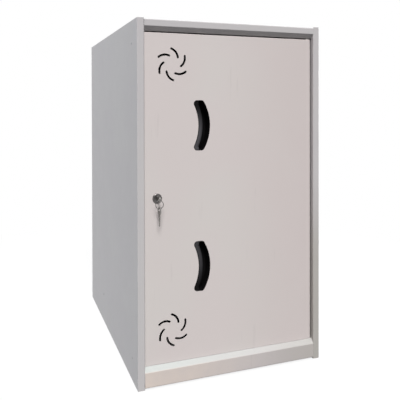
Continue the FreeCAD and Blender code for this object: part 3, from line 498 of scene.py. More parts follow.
@dataclass(frozen=True)
class PullMoulding(Moulding):
    """Matt black moulding whose front lip is painted grey as painted light, most towards the door's middle,
    fading as painted shade towards each pull's outer end.
    """

    roughness: float = 0.78
    specular: float = 0.06
    pale_gloss: float = 0.22
    # Where the lip's painted light lies and how it fades as painted shade.
    lip_crest: Span = (-327.98 * MM, -327.58 * MM)
    lip_front: Span = (-327.5 * MM, -323.5 * MM)
    lip_axis: float = -210.9 * MM
    lip_reach: Span = (134 * MM, 136 * MM)
    offset: float = 177.4 * MM
    middle: float = 461.15 * MM
    light_reach: Span = (152 * MM, 232 * MM)
    least: float = 0.05
    lower_share: float = 0.6
    blotch: float = 14 * MM
    blotch_even: float = 0.85
    blotch_cloud: float = 0.3

    def paling_mask(self, tree: Tree) -> Wire:
        """Finds where the lip is painted grey as painted light, less on the lower pull.

        Args:
            tree: The material's tree.

        Returns:
            The wire of a value from 0 where the lip is left black to 1 where its painted light is full.
        """
        # Painted light: the lip's front is painted grey, fading as painted shade towards each pull's outer
        # end, and weaker on the lower pull.
        depth = tree.along("Y")
        height = tree.along("Z")
        front = tree.step(depth, *self.lip_crest) * (1.0 - tree.step(depth, *self.lip_front))
        away = (height - self.middle).size()
        lit_share = 1.0 - (1.0 - self.least) * tree.step(away, *self.light_reach)
        upper = tree.step(height, self.middle - MM, self.middle)
        lit_share *= self.lower_share + (1.0 - self.lower_share) * upper
        blotches = self.blotch_even + self.blotch_cloud * tree.clouds(self.blotch, detail=3.0)
        across, along = tree.along("X") - self.lip_axis, away - self.offset
        lip = 1.0 - tree.step((across * across + along * along).root(), *self.lip_reach)
        return (front * lit_share * lip * blotches).at_most_one()


FINISHES: dict[Slot, Finish] = {
    # Painted shade: the cabinet's and the door's coats darken towards the right and low down to a third
    # colour; the door's darkening reaches its full height.
    Slot.CABINET_PAINT: PowderCoat(
        "light_grey_coat", tone(191, 188, 189), tone(194, 192, 191), painted_shade=tone(173, 170, 165)
    ),
    Slot.DOOR_PAINT: PowderCoat(
        "warm_grey_coat",
        tone(209, 201, 199),
        tone(208, 205, 201),
        painted_shade=tone(203, 194, 192),
        shade_across=(-0.08, 0.24),
        shade_below=(2.0, 3.0),
    ),
    Slot.RIVET_PAINT: PowderCoat(
        "rivet_coat", tone(166, 165, 166), tone(150, 150, 152), peel_rise=0.006 * MM
    ),
    Slot.BUFFER_RUBBER: Moulding(
        "black_rubber", tone(38, 37, 36), tone(62, 60, 58), 0.78, grain_rise=0.05 * MM
    ),
    # The pull's second tone is the grey of the painted light on its lip.
    Slot.PULL_PLASTIC: PullMoulding("black_pull_moulding", tone(13, 12, 13), tone(78, 77, 80)),
    Slot.BUSH_NYLON: Moulding("natural_nylon", tone(226, 223, 212), tone(206, 202, 190), 0.42),
    # The chrome's colour is painted dark for the dark surroundings that bright chrome reflects: a painted
    # reflection.
    Slot.LOCK_CHROME: Plate("chrome_painted_dark", tone(112, 109, 108), 0.24, tone(58, 56, 56), patch=3.4 * MM),
    Slot.ZINC_STEEL: Plate("bright_zinc", tone(186, 188, 190), 0.34, tone(150, 149, 140), patch=9 * MM),
    Slot.WAFER_BRASS: Plate(
        "plain_brass", tone(214, 178, 108), 0.34, tone(150, 118, 66), drawn=(1.0, 1.0, 0.08)
    ),
    Slot.KEY_STEEL: Plate(
        "nickel_plate", tone(156, 154, 151), 0.38, tone(108, 106, 103), drawn=(1.0, 0.1, 1.0)
    ),
    Slot.RING_STEEL: Plate("bright_wire", tone(98, 97, 96), 0.34, tone(64, 63, 62)),
}


class Shape:
    """Points and faces of one piece, gathered before they become its mesh."""

    def __init__(self) -> None:
        """Starts with nothing."""
        self.points: list[Vector] = []
        self.faces: list[list[int]] = []

    def loft(self, loops: Sequence[Loop], round_again: bool = False) -> None:
        """Joins loops of points by strips of faces.

        Args:
            loops: Loops with the same number of points, in order.
            round_again: Whether the last loop joins the first; otherwise both end in a flat face.
        """
        start = len(self.points)
        count = len(loops[0])
        for loop in loops:
            self.points.extend(loop)
        rows = [[start + row * count + i for i in range(count)] for row in range(len(loops))]
        for low, high in zip(rows, rows[1:] + rows[:1] if round_again else rows[1:]):
            for i in range(count):
                j = (i + 1) % count
                self.faces.append([low[i], low[j], high[j], high[i]])
        if not round_again:
            self.faces.append(rows[0])
            self.faces.append(rows[-1])

    def turn(self, profile: Outline, put: Matrix, steps: int, round_again: bool = False) -> None:
        """Turns a profile about the local Z axis.

        Args:
            profile: Radius and height of each of its points, in millimetres.
            put: Where the local axes stand, in metres.
            steps: Number of points on each turn.
            round_again: Whether the profile closes on itself.
        """
        turns = [math.tau * i / steps for i in range(steps)]
        loops = [
            [put @ (MM * Vector((radius * math.cos(a), radius * math.sin(a), height))) for a in turns]
            for radius, height in profile
        ]
        self.loft(loops, round_again)

    def mesh(self, name: str) -> bpy.types.Mesh:
        """Makes the mesh, with its faces looking outwards.

        Args:
            name: The mesh's name.

        Returns:
            The mesh.
        """
        made = bpy.data.meshes.new(name)
        made.from_pydata(self.points, [], self.faces)
        return tidy_mesh(made)


def tidy_mesh(mesh: bpy.types.Mesh) -> bpy.types.Mesh:
    """Joins double points, turns faces outwards and sets which edges shade sharp.

    Args:
        mesh: The mesh to tidy.

    Returns:
        The same mesh.
    """
    work = bmesh.new()
    work.from_mesh(mesh)
    bmesh.ops.remove_doubles(work, verts=work.verts, dist=SAME_ON_MESH)
    bmesh.ops.recalc_face_normals(work, faces=work.faces)
    if work.calc_volume(signed=True) < 0.0:
        bmesh.ops.reverse_faces(work, faces=work.faces)
    work.to_mesh(mesh)
    work.free()
    mesh.shade_smooth()
    mesh.set_sharp_from_angle(angle=math.radians(SMOOTH_UP_TO))
    return mesh


def inset(outline: Outline, depth: float) -> Outline:
    """Moves a closed outline to the left of its run.

    Args:
        outline: The outline's points.
        depth: How far it moves; to the right where this is negative.

    Returns:
        The moved points, one for each of the outline's.
    """
    points = [Vector(point) for point in outline]
    moved = []
    for before, here, after in zip(points[-1:] + points[:-1], points, points[1:] + points[:1]):
        sides = [Vector((a.y - b.y, b.x - a.x)).normalized() for a, b in ((before, here), (here, after))]
        moved.append(tuple(here + (sides[0] + sides[1]) * depth / (1.0 + sides[0].dot(sides[1]))))
    return moved


def plate(outlines: Sequence[Outline], thickness: float, edge: float = 0.0) -> bpy.types.Mesh:
    """Cuts a flat plate that lies in XY with its middle at z = 0.

    Args:
        outlines: Closed outlines in millimetres that run to the left, the outer one first and then its holes.
        thickness: The plate's thickness in millimetres.
        edge: Width of its eased edges in millimetres.

    Returns:
        The plate's mesh.
    """
    half = thickness / 2
    ease = EASE_SHARE * edge
    rims = [(edge, half), (ease, half - ease), (0.0, half - edge)] if edge else [(0.0, half)]
    levels = [(depth, -height) for depth, height in rims] + rims[::-1]
    work = bmesh.new()
    caps: tuple[list[bmesh.types.BMEdge], ...] = ([], [])
    for number, outline in enumerate(outlines):
        inwards = -1.0 if number else 1.0
        rings = [
            [work.verts.new((x * MM, y * MM, height * MM)) for x, y in inset(outline, inwards * depth)]
            for depth, height in levels
        ]
        for low, high in zip(rings, rings[1:]):
            for i in range(len(low)):
                work.faces.new((low[i - 1], low[i], high[i], high[i - 1]))
        for cap, ring in zip(caps, (rings[0], rings[-1])):
            cap.extend(work.edges.get((ring[i - 1], ring[i])) for i in range(len(ring)))
    for cap in caps:
        bmesh.ops.triangle_fill(work, use_beauty=True, edges=cap)
    mesh = bpy.data.meshes.new("plate")
    work.to_mesh(mesh)
    work.free()
    return tidy_mesh(mesh)


def carve(mesh: bpy.types.Mesh, cutters: Iterable[bpy.types.Mesh]) -> bpy.types.Mesh:
    """Takes cutters' volumes out of a mesh.

    Args:
        mesh: The mesh to carve.
        cutters: Closed meshes; they are used up.

    Returns:
        The carved mesh.
    """
    collection = bpy.context.scene.collection
    block = bpy.data.objects.new("carved_block", mesh)
    collection.objects.link(block)
    tools = []
    for cutter in cutters:
        tool = bpy.data.objects.new("carving_tool", cutter)
        collection.objects.link(tool)
        cut = block.modifiers.new("cut", "BOOLEAN")
        cut.operation = "DIFFERENCE"
        cut.solver = "EXACT"
        cut.object = tool
        tools.append(tool)
    graph = bpy.context.evaluated_depsgraph_get()
    carved = bpy.data.meshes.new_from_object(block.evaluated_get(graph), depsgraph=graph)
    for worn in [block, *tools]:
        used = worn.data
        bpy.data.objects.remove(worn)
        bpy.data.meshes.remove(used)
    return tidy_mesh(carved)


def rounded(corners: Sequence[Corner], steps: int = 8) -> Outline:
    """Rounds the corners of an outline.

    Args:
        corners: X, Y and radius of each corner, in order; a radius of 0 leaves it sharp.
        steps: Number of runs in each rounding.

    Returns:
        The outline's points.
    """
    points: list[Pair] = []
    for i, (x, y, radius) in enumerate(corners):
        corner = Vector((x, y))
        if radius == 0.0:
            points.append((x, y))
            continue
        before = (Vector(corners[i - 1][:2]) - corner).normalized()
        after = (Vector(corners[(i + 1) % len(corners)][:2]) - corner).normalized()
        half = before.angle(after) / 2
        middle = corner + (before + after).normalized() * radius / math.sin(half)
        start = (corner + before * radius / math.tan(half)) - middle
        end = (corner + after * radius / math.tan(half)) - middle
        for step in range(steps + 1):
            share = step / steps
            points.append(tuple(middle + radius * start.slerp(end, share)))
    return [p for p, q in zip(points, points[1:] + points[:1]) if math.dist(p, q) > SAME_ON_OUTLINE]


def disc(x: float, y: float, radius: float, steps: int = 40) -> Outline:
    """The outline of a round hole or boss.

    Args:
        x: Its middle's X.
        y: Its middle's Y.
        radius: Its radius.
        steps: Number of its points.

    Returns:
        The outline's points.
    """
    turns = (math.tau * i / steps for i in range(steps))
    return [(x + radius * math.cos(a), y + radius * math.sin(a)) for a in turns]


def add_piece(mesh: bpy.types.Mesh, body: Body, slot: Slot, finishes: Materials, *nodes: str) -> None:
    """Puts a piece in the scene under its mesh's name.

    Args:
        mesh: The piece's mesh, at its place.
        body: The body that it rides on.
        slot: The slot whose finish it takes.
        finishes: The material of each slot.
        nodes: CAD nodes that it stands for.
    """
    mesh.materials.clear()
    mesh.materials.append(finishes[slot])
    piece = bpy.data.objects.new(mesh.name, mesh)
    bpy.context.scene.collection.objects.link(piece)
    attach(piece, body.value)
    if nodes:
        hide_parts(*nodes)
    log.info("%s: built on %s", piece.name, body.value)


def dress_nodes(names: Iterable[str], material: bpy.types.Material) -> None:
    """Gives CAD nodes a material.

    Args:
        names: The nodes' names.
        material: The material that they take.
    """
    for name in names:
        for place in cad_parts[name].material_slots:
            place.material = material
        log.info("%s: dressed in %s", name, material.name)


@dataclass
class Assembly:
    """A sub-assembly: CAD nodes that are dressed, by their slots, and fine pieces that are built."""

    nodes: SlotNodes = ()

    def build(self, finishes: Materials) -> None:
        """Builds the fine pieces in the materials of their slots; each sub-assembly has its own."""
        raise NotImplementedError

    def dress(self, finishes: Materials) -> None:
        """Dresses the CAD nodes in the materials of their slots."""
        for slot, names in self.nodes:
            dress_nodes(names, finishes[slot])


@dataclass
class Cabinet(Assembly):
    """The folded cabinet with its posts, rivets, buffers and pivot pins."""

    nodes: SlotNodes = (
        (Slot.CABINET_PAINT, ("left_side_panel", "right_side_panel", "left_stop_post", "right_stop_post")),
        (Slot.CABINET_PAINT, ("top_panel", "header_rail", "floor_panel", "back_panel")),
        (Slot.RIVET_PAINT, ("left_side_rivets", "right_side_rivets", "back_rivets")),
        (Slot.BUFFER_RUBBER, ("door_buffers",)),
        (Slot.ZINC_STEEL, ("upper_pivot_pin", "lower_pivot_pin")),
    )
    sill: str = "sill_rail"
    # The sill's coat has painted shade towards the right and painted light on its slope and kick plate.
    sill_coat: Finish = LitSillCoat(
        "sill_coat", tone(190, 184, 184), tone(193, 188, 187), painted_shade=tone(180, 175, 171)
    )
    side_x: float = 252.5 * MM
    plug_place: Pair = (119.5 * MM, 86 * MM)
    plug_profile: Outline = (
        (0.4, -0.6), (3.4, -0.6), (3.4, 0.0), (3.9, 0.05), (3.75, 0.35),
        (3.1, 0.72), (2.0, 0.98), (0.9, 1.08), (0.3, 1.1),
    )
    plug_steps: int = 32

    def build(self, finishes: Materials) -> None:
        """Builds the plugs that close a bolt hole in each side.

        Args:
            finishes: The material of each slot.
        """
        for name, side in (("left", -1.0), ("right", 1.0)):
            shape = Shape()
            outwards = Matrix.Rotation(side * math.pi / 2, 4, "Y")
            put = Matrix.Translation((side * self.side_x, *self.plug_place)) @ outwards
            shape.turn(self.plug_profile, put, self.plug_steps)
            add_piece(shape.mesh(f"{name}_hole_plug"), Body.CABINET, Slot.RIVET_PAINT, finishes)

    def dress(self, finishes: Materials) -> None:
        """Dresses the CAD nodes, the sill rail in a coat of its own."""
        super().dress(finishes)
        dress_nodes((self.sill,), self.sill_coat.material())


@dataclass
class Door(Assembly):
    """The door pan with its stiffener, finger pulls and pivot bushes."""

    nodes: SlotNodes = (
        (Slot.DOOR_PAINT, ("door_skin", "door_stiffener")),
        (Slot.PULL_PLASTIC, ("upper_pull_cup", "lower_pull_cup")),
        (Slot.BUSH_NYLON, ("upper_pivot_bush", "lower_pivot_bush")),
    )
    flange_middle: float = 7.5 * MM
    flange_face: float = -326.5 * MM
    weld_pitch: float = 62 * MM
    weld_inset: float = 24 * MM
    weld_profile: Outline = (
        (3.3, -0.2), (3.2, 0.05), (2.8, 0.22), (2.3, 0.26), (1.9, 0.12), (1.2, 0.05), (0.3, 0.04),
    )
    weld_steps: int = 20
    pull_middle: Pair = (-76.8 * MM, 461.15 * MM)
    pull_offset: float = 177.4 * MM
    pull_half: Pair = (15.1, 62.7)
    pull_radii: Pair = (119.0, 117.0)
    pull_corner: float = 8.2
    side_steps: int = 40
    corner_steps: tuple[int, int] = (12, 16)
    collar: Outline = (
        (-0.06, 0.0), (-0.06, 1.01), (0.5, 1.01), (0.55, 1.06), (0.52, 1.16), (0.4, 1.25),
        (0.2, 1.28), (-0.4, 1.28), (-0.65, 1.2), (-0.8, 1.0), (-0.8, 0.0),
    )
    skin_back: float = -327.5 * MM
    edge_bend: float = 2.0
    strip_bed: float = 1.97
    strip_lap: float = 1.8
    strip_depth: float = 0.85
    strip_nose: Outline = ((0.0, 0.25), (-0.07, 0.07), (-0.25, 0.0))
    strip_steps: int = 6
    lock_stand: float = 1.6
    sill_stand: float = 0.8
    lock_strip_short: float = 1.5 * MM
    sill_strip_short: float = 2.5 * MM

    def pull_outline(self, grow: float) -> Outline:
        """Draws a pull's arc-shaped outline about its middle.

        Args:
            grow: How far outside the cut-out the outline lies, in millimetres.

        Returns:
            The outline's points in millimetres, the same number for every growth.
        """
        (half_x, half_z), (inner, outer) = self.pull_half, self.pull_radii
        inner_x, outer_x = -half_x - inner, half_x - outer
        inner, outer, corner = inner - grow, outer + grow, self.pull_corner + grow
        rise = half_z + grow - corner
        tilt, lean = math.asin(rise / (outer - corner)), math.asin(rise / (inner + corner))
        right = outer_x + (outer - corner) * math.cos(tilt)
        left = inner_x + (inner + corner) * math.cos(lean)
        square = math.pi / 2
        short, long = self.corner_steps
        arcs = (
            (outer_x, 0.0, outer, -tilt, tilt, self.side_steps),
            (right, rise, corner, tilt, square, short),
            (left, rise, corner, square, math.pi + lean, long),
            (inner_x, 0.0, inner, lean, -lean, self.side_steps),
            (left, -rise, corner, math.pi - lean, 3 * square, long),
            (right, -rise, corner, 3 * square, math.tau - tilt, short),
        )
        return [
            (x + radius * math.cos(turn), z + radius * math.sin(turn))
            for x, z, radius, start, end, steps in arcs
            for turn in (start + (end - start) * step / steps for step in range(steps))
        ]

    def build(self, finishes: Materials) -> None:
        """Builds the collars of the pulls, the spot welds of the stiffener and the strips on two edges.

        Args:
            finishes: The material of each slot.
        """
        x, z = self.pull_middle
        for name, way in (("upper", 1.0), ("lower", -1.0)):
            shape = Shape()
            middle = Vector((x, self.skin_back, z + way * self.pull_offset))
            shape.loft([
                [middle + MM * Vector((u, -rise, v)) for u, v in self.pull_outline(grow)]
                for grow, rise in self.collar
            ], round_again=True)
            add_piece(shape.mesh(f"{name}_pull_collar"), Body.DOOR, Slot.PULL_PLASTIC, finishes)
        self.weld_stiffener(finishes)
        self.lay_strips(finishes)

    def strip_section(self, stand: float) -> Outline:
        """Draws the section of a strip that squares off the door's folded edge.

        Args:
            stand: How far the strip stands out beyond the edge, in millimetres.

        Returns:
            The way out from the edge and the way back from the face of each point, in millimetres.
        """
        bend, bed, steps = self.edge_bend, self.strip_bed, self.strip_steps
        start = math.acos((bend - self.strip_lap) / bed)
        end = math.asin((bend - self.strip_depth) / bed)
        turns = [start + (end - start) * step / steps for step in range(steps + 1)]
        back = [(bed * math.cos(turn) - bend, bend - bed * math.sin(turn)) for turn in turns]
        nose = [(stand + out, depth) for out, depth in self.strip_nose]
        return [(-self.strip_lap, 0.0), *back, (stand, self.strip_depth), *nose]

    def lay_strips(self, finishes: Materials) -> None:
        """Builds the strips on the door's edges on the lock side and above the sill.

        Args:
            finishes: The material of each slot.
        """
        low, high = (Vector(corner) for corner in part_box("door_skin"))
        upright, level = Shape(), Shape()
        section = self.strip_section(self.lock_stand)
        upright.loft([
            [Vector((low.x - out * MM, low.y + back * MM, z)) for out, back in section]
            for z in (low.z - self.sill_stand * MM, high.z - self.lock_strip_short)
        ])
        section = self.strip_section(self.sill_stand)
        level.loft([
            [Vector((x, low.y + back * MM, low.z - out * MM)) for out, back in section]
            for x in (low.x + self.strip_lap * MM, high.x - self.sill_strip_short)
        ])
        for name, shape in (("lock_side_strip", upright), ("sill_side_strip", level)):
            add_piece(shape.mesh(name), Body.DOOR, Slot.DOOR_PAINT, finishes)

    def weld_stiffener(self, finishes: Materials) -> None:
        """Builds the spot welds along the stiffener's two flanges.

        Args:
            finishes: The material of each slot.
        """
        low, high = (Vector(corner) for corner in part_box("door_stiffener"))
        length = high.z - low.z - 2 * self.weld_inset
        runs = round(length / self.weld_pitch)
        backwards = Matrix.Rotation(-math.pi / 2, 4, "X")
        shape = Shape()
        for x in (low.x + self.flange_middle, high.x - self.flange_middle):
            for row in range(runs + 1):
                place = (x, self.flange_face, low.z + self.weld_inset + row * length / runs)
                put = Matrix.Translation(place) @ backwards
                shape.turn(self.weld_profile, put, self.weld_steps)
        add_piece(shape.mesh("stiffener_spot_welds"), Body.DOOR, Slot.DOOR_PAINT, finishes)


@dataclass
class CamLock(Assembly):
    """The cam lock in the door: housing, fixings, plug, wafers and cam."""

    nodes: SlotNodes = (
        (Slot.LOCK_CHROME, ("lock_plug",)),
        (Slot.ZINC_STEEL, ("lock_nut", "lock_washer", "lock_cam", "cam_screw")),
        (Slot.WAFER_BRASS, ("lock_wafers",)),
    )
    axis: Pair = (-200.5 * MM, 461.15 * MM)
    door_face: float = -328.5 * MM
    bore: float = 6.65
    bezel: Outline = (
        (8.25, -1.2), (8.25, -2.72), (8.36, -2.9), (8.62, -2.98), (9.3, -3.0), (9.9, -2.96), (10.6, -2.78),
        (11.2, -2.44), (11.66, -1.96), (11.9, -1.4), (12.0, -0.8), (12.0, -0.2), (11.9, -0.05), (11.7, 0.0),
        (9.05, 0.0),
    )
    plug_sink: float = -1.2
    barrel_back: float = 27.4
    barrel_chamfer: float = 0.4
    thread_from: float = 0.6
    thread_stop: float = 1.0
    thread_pitch: float = 1.25
    thread_radii: Pair = (8.85, 9.4)
    thread_shares: tuple[float, ...] = (0.0, 0.12, 0.45, 0.6)
    turn_steps: int = 72

    def build(self, finishes: Materials) -> None:
        """Builds the housing: a rounded bezel on a threaded barrel with the plug's bore.

        Args:
            finishes: The material of each slot.
        """
        root, crest = self.thread_radii
        back, chamfer, pitch = self.barrel_back, self.barrel_chamfer, self.thread_pitch
        profile = [(self.bore, self.plug_sink), *self.bezel]
        for turn in range(int((back - self.thread_from - self.thread_stop) / pitch)):
            start = self.thread_from + turn * pitch
            radii = (root, root, crest, crest)
            profile += [(radius, start + share * pitch) for radius, share in zip(radii, self.thread_shares)]
        profile += [(root, back - chamfer), (root - chamfer, back), (self.bore, back)]
        shape = Shape()
        x, z = self.axis
        put = Matrix.Translation((x, self.door_face, z)) @ Matrix.Rotation(-math.pi / 2, 4, "X")
        shape.turn(profile, put, self.turn_steps, round_again=True)
        add_piece(shape.mesh("turned_lock_housing"), Body.DOOR, Slot.LOCK_CHROME, finishes, "lock_housing")


@dataclass
class Keys(Assembly):
    """The key in the lock, its split ring and the spare key. A key's blade runs along its own X."""

    nodes: SlotNodes = (
        (Slot.KEY_STEEL, ("key_in_lock", "spare_key")),
        (Slot.RING_STEEL, ("key_ring",)),
    )
    thickness: float = 1.7
    edge: float = 0.22
    bow_back: float = -24.0
    neck_back: float = -6.0
    bow_half: float = 7.0
    bow_slope: float = 3.2
    bow_corners: Pair = (5.2, 3.0)
    neck_half: float = 3.6
    neck_corners: Pair = (1.5, 0.4)
    blade_half: float = 2.4
    blade_corner: float = 0.3
    tip: float = 23.0
    tip_half: float = 1.3
    tip_slope: float = 2.2
    tip_rise: float = 0.3
    tip_corners: Pair = (0.5, 0.4)
    cut_from: float = 7.5
    cut_pitch: float = 3.0
    cut_halves: Pair = (1.0, 0.3)
    cut_depths: tuple[float, ...] = (1.1, 0.6, 0.9, 0.5)
    hole: Pair = (-17.8, 3.7)
    panel_ends: float = 1.2
    panel_sides: float = 1.5
    panel_corners: Pair = (1.4, 2.4)
    panel_depth: float = 0.36
    groove_along: Span = (-4.2, 18.0)
    groove_across: Span = (0.1, 1.0)
    groove_corner: float = 0.4
    groove_depth: float = 0.4
    spare_yaw: float = 14.0
    ring_radius: float = 9.8
    ring_steps: int = 180
    wire_half: Pair = (0.62, 0.36)
    wire_corner: float = 0.25
    wire_steps: int = 3
    coil_start: float = 20.0
    coil_offset: float = 0.41
    jog_half: float = 0.45

    def blade_outline(self) -> Outline:
        """Draws a key's outline, with the cuts along the blade's lower edge.

        Returns:
            The outline's points.
        """
        blade, point, tip = self.blade_half, self.tip_half, self.tip
        shoulders = [
            (self.bow_back, self.bow_half, self.bow_corners[0]),
            (self.neck_back - self.bow_slope, self.bow_half, self.bow_corners[1]),
            (self.neck_back, self.neck_half, self.neck_corners[0]),
            (0.0, self.neck_half, self.neck_corners[1]),
            (0.0, blade, self.blade_corner),
        ]
        wide, narrow = self.cut_halves
        cuts = []
        for number, depth in enumerate(self.cut_depths):
            middle = self.cut_from + number * self.cut_pitch
            edge = -blade + (blade - point) * middle / tip
            reaches = ((-wide, 0.0), (-narrow, depth), (narrow, depth), (wide, 0.0))
            cuts += [(middle + reach, edge + rise, 0.0) for reach, rise in reaches]
        side, nose = self.tip_corners
        slope = tip - self.tip_slope
        tips = [(slope, -point, side), (tip, self.tip_rise, nose), (slope, point, side)]
        lower = [(x, -y, radius) for x, y, radius in shoulders]
        return rounded([*lower, *cuts, *tips, *shoulders[::-1]])

    def cut_key(self, name: str, put: Matrix) -> bpy.types.Mesh:
        """Cuts a key with a sunk panel in its bow and a groove in its blade, on both faces.

        Args:
            name: The mesh's name.
            put: Where the key's own axes stand.

        Returns:
            The key's mesh.
        """
        hole_x, hole_radius = self.hole
        blank = plate([self.blade_outline(), disc(hole_x, 0.0, hole_radius)], self.thickness, self.edge)
        left, right = hole_x + hole_radius + self.panel_ends, self.neck_back - self.panel_ends
        half, (tight, wide) = self.bow_half - self.panel_sides, self.panel_corners
        panel = rounded([
            (left, -half, tight), (right, -half, wide), (right, half, wide), (left, half, tight),
        ])
        (start, end), (low, high), ease = self.groove_along, self.groove_across, self.groove_corner
        groove = rounded([(start, low, ease), (end, low, ease), (end, high, ease), (start, high, ease)])
        cutters = []
        for outline, depth in ((panel, self.panel_depth), (groove, self.groove_depth)):
            for face in (-1.0, 1.0):
                cutter = plate([outline], 2 * depth)
                cutter.transform(Matrix.Translation((0.0, 0.0, face * self.thickness / 2 * MM)))
                cutters.append(cutter)
        key = carve(blank, cutters)
        key.name = name
        key.transform(put)
        return key

    def wind_ring(self, middle: Vector) -> bpy.types.Mesh:
        """Winds the split ring: two coils of flat wire side by side, with a jog between them.

        Args:
            middle: The ring's middle.

        Returns:
            The ring's mesh.
        """
        (radial, axial), corner = self.wire_half, self.wire_corner
        sides = ((-radial, -axial), (radial, -axial), (radial, axial), (-radial, axial))
        section = rounded([(u, v, corner) for u, v in sides], self.wire_steps)
        loops = []
        for step in range(self.ring_steps + 1):
            turn = 2 * math.tau * step / self.ring_steps
            jog = min(max((turn - math.tau + self.jog_half) / (2 * self.jog_half), 0.0), 1.0)
            shift = self.coil_offset * (2 * jog * jog * (3 - 2 * jog) - 1)
            bearing = turn + math.radians(self.coil_start)
            out = Vector((math.cos(bearing), 0.0, math.sin(bearing)))
            loops.append([
                middle + MM * (out * (self.ring_radius + u) + Vector((0.0, v + shift, 0.0)))
                for u, v in section
            ])
        shape = Shape()
        shape.loft(loops)
        return shape.mesh("split_ring")

    def build(self, finishes: Materials) -> None:
        """Builds both keys and the ring.

        Args:
            finishes: The material of each slot.
        """
        low, high = (Vector(corner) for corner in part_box("key_in_lock"))
        # A key's length goes into the door and its width upright, with its faces to the sides.
        flat = Matrix(((0, 0, 1, 0), (1, 0, 0, 0), (0, 1, 0, 0), (0, 0, 0, 1)))
        shoulder = Vector(((low.x + high.x) / 2, high.y - self.tip * MM, (low.z + high.z) / 2))
        key = self.cut_key("cut_key_in_lock", Matrix.Translation(shoulder) @ flat)
        add_piece(key, Body.LOCK_CORE, Slot.KEY_STEEL, finishes, "key_in_lock")
        low, high = (Vector(corner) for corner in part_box("spare_key"))
        shoulder = Vector(((low.x + high.x) / 2, (low.y + high.y) / 2, low.z + self.tip * MM))
        # The spare hangs with its tip down and its faces turned a little from the sides.
        hang = Matrix.Rotation(math.radians(self.spare_yaw), 4, "Z") @ Matrix.Rotation(-math.pi / 2, 4, "X")
        spare = self.cut_key("cut_spare_key", Matrix.Translation(shoulder) @ hang @ flat)
        add_piece(spare, Body.SPARE, Slot.KEY_STEEL, finishes, "spare_key")
        low, high = (Vector(corner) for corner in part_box("key_ring"))
        add_piece(self.wind_ring((low + high) / 2), Body.RING, Slot.RING_STEEL, finishes, "key_ring")


@dataclass(frozen=True)
class Lamp:
    """A soft lamp so far away that its light is even; bearings turn from the front to the left."""

    name: str
    bearing: float
    elevation: float
    level: float
    spread: float
    colour: Colour = (1.0, 1.0, 1.0)
    away: float = 6.0

    def hang(self) -> None:
        """Hangs the lamp in the scene."""
        data = bpy.data.lights.new(self.name, "SUN")
        data.energy = math.pi * self.level
        data.angle = math.radians(self.spread)
        data.color = self.colour
        lamp = bpy.data.objects.new(self.name, data)
        turn, lift = math.radians(self.bearing), math.radians(self.elevation)
        flat = math.cos(lift)
        seat = Vector((-math.sin(turn) * flat, -math.cos(turn) * flat, math.sin(lift)))
        lamp.location = self.away * seat
        lamp.rotation_euler = (-seat).to_track_quat("-Z", "Y").to_euler()
        bpy.context.scene.collection.objects.link(lamp)


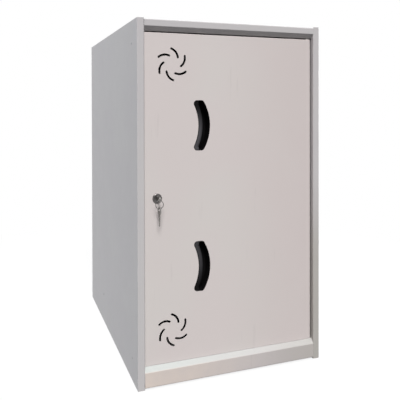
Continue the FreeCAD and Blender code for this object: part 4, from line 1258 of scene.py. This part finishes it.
@dataclass
class Studio:
    """The pale floor, the soft lamps, the white surround and the camera."""

    lamps: tuple[Lamp, ...] = (
        Lamp("front_lamp", 12.0, 46.0, 1.095, 24.0, (1.0, 0.99, 0.985)),
        Lamp("left_lamp", 118.0, 15.0, 0.335, 50.0, (0.87, 0.935, 1.0)),
        Lamp("back_lamp", -130.0, 7.0, 0.92, 50.0),
    )
    floor_half: float = 8.0
    floor_bounce: Colour = (0.085, 0.085, 0.085)
    floor_pale: Colour = (0.92, 0.92, 0.92)
    floor_glow: float = 0.75
    speckle: float = 0.4
    speckle_share: float = 0.04
    shadow_reach: Span = (0.7, 1.5)
    surround: Colour = (0.27, 0.273, 0.284)
    camera_seat: Point = (-0.5545, -1.5919, 0.6841)
    camera_yaw: float = -20.26
    camera_pitch: float = -0.54
    camera_roll: float = 0.12
    lens: float = 48.16
    sensor: float = 36.0
    shift_down: float = -0.2193

    @staticmethod
    def seen(tree: Tree) -> Wire:
        """Which rays look at the surround rather than gather its light.

        Args:
            tree: The tree that asks.

        Returns:
            The wire of 1 for a camera, glossy or transmission ray, and 0 otherwise.
        """
        camera, glossy, through = (
            tree.add("ShaderNodeLightPath", {}, {}, name)
            for name in ("Is Camera Ray", "Is Glossy Ray", "Is Transmission Ray")
        )
        return (camera + glossy + through).at_most_one()

    def lay_floor(self) -> None:
        """Lays the floor under the locker, white where it is looked at except in the locker's shadow."""
        mesh = bpy.data.meshes.new("floor_sheet")
        half = self.floor_half
        corners = [(-half, -half, 0.0), (half, -half, 0.0), (half, half, 0.0), (-half, half, 0.0)]
        mesh.from_pydata(corners, [], [(0, 1, 2, 3)])
        material = bpy.data.materials.new("pale_floor")
        tree = Tree(material)
        seen = self.seen(tree)
        speckle = tree.clouds(self.speckle, detail=3.0) * self.speckle_share
        colour = tree.mix(seen, tree.mix(speckle, self.floor_bounce, self.floor_pale), self.floor_pale)
        matt = tree.add("ShaderNodeBsdfDiffuse", {}, {"Color": colour})
        glow = tree.add("ShaderNodeEmission", {}, {"Strength": 1.0})
        here = tree.place()
        away = tree.add("ShaderNodeVectorMath", {"operation": "LENGTH"}, {0: here}, "Value")
        far = tree.step(away, *self.shadow_reach)
        share = seen * (self.floor_glow + (1.0 - self.floor_glow) * far)
        both = tree.add("ShaderNodeMixShader", {}, {0: share, 1: matt, 2: glow})
        tree.add("ShaderNodeOutputMaterial", {}, {"Surface": both})
        mesh.materials.append(material)
        floor = bpy.data.objects.new("floor_sheet", mesh)
        bpy.context.scene.collection.objects.link(floor)

    def light(self) -> None:
        """Hangs the lamps and sets the world, white where it is looked at."""
        for lamp in self.lamps:
            lamp.hang()
        world = bpy.data.worlds.new("white_surround")
        bpy.context.scene.world = world
        tree = Tree(world)
        colour = tree.mix(self.seen(tree), self.surround, (1.0, 1.0, 1.0))
        shade = tree.add("ShaderNodeBackground", {}, {"Color": colour, "Strength": 1.0})
        tree.add("ShaderNodeOutputWorld", {}, {"Surface": shade})

    def stand_camera(self) -> None:
        """Stands the camera where the photograph was taken from."""
        data = bpy.data.cameras.new("photo_camera")
        data.sensor_width = self.sensor
        data.lens = self.lens
        data.shift_y = self.shift_down
        camera = bpy.data.objects.new("photo_camera", data)
        camera.location = self.camera_seat
        tilt = (90.0 + self.camera_pitch, self.camera_roll, self.camera_yaw)
        camera.rotation_euler = [math.radians(angle) for angle in tilt]
        bpy.context.scene.collection.objects.link(camera)
        bpy.context.scene.camera = camera

    def set_up(self) -> None:
        """Sets up the floor, the light, the camera and the plain view of colours."""
        self.lay_floor()
        self.light()
        self.stand_camera()
        bpy.context.scene.view_settings.view_transform = "Standard"


def main() -> None:
    """Builds and dresses the sub-assemblies in order, then sets up the studio."""
    logging.basicConfig(level=logging.INFO, format="%(message)s")
    finishes = {slot: finish.material() for slot, finish in FINISHES.items()}
    for assembly in (Cabinet(), Door(), CamLock(), Keys()):
        assembly.build(finishes)
        assembly.dress(finishes)
    Studio().set_up()


if __name__ == "__main__":
    main()
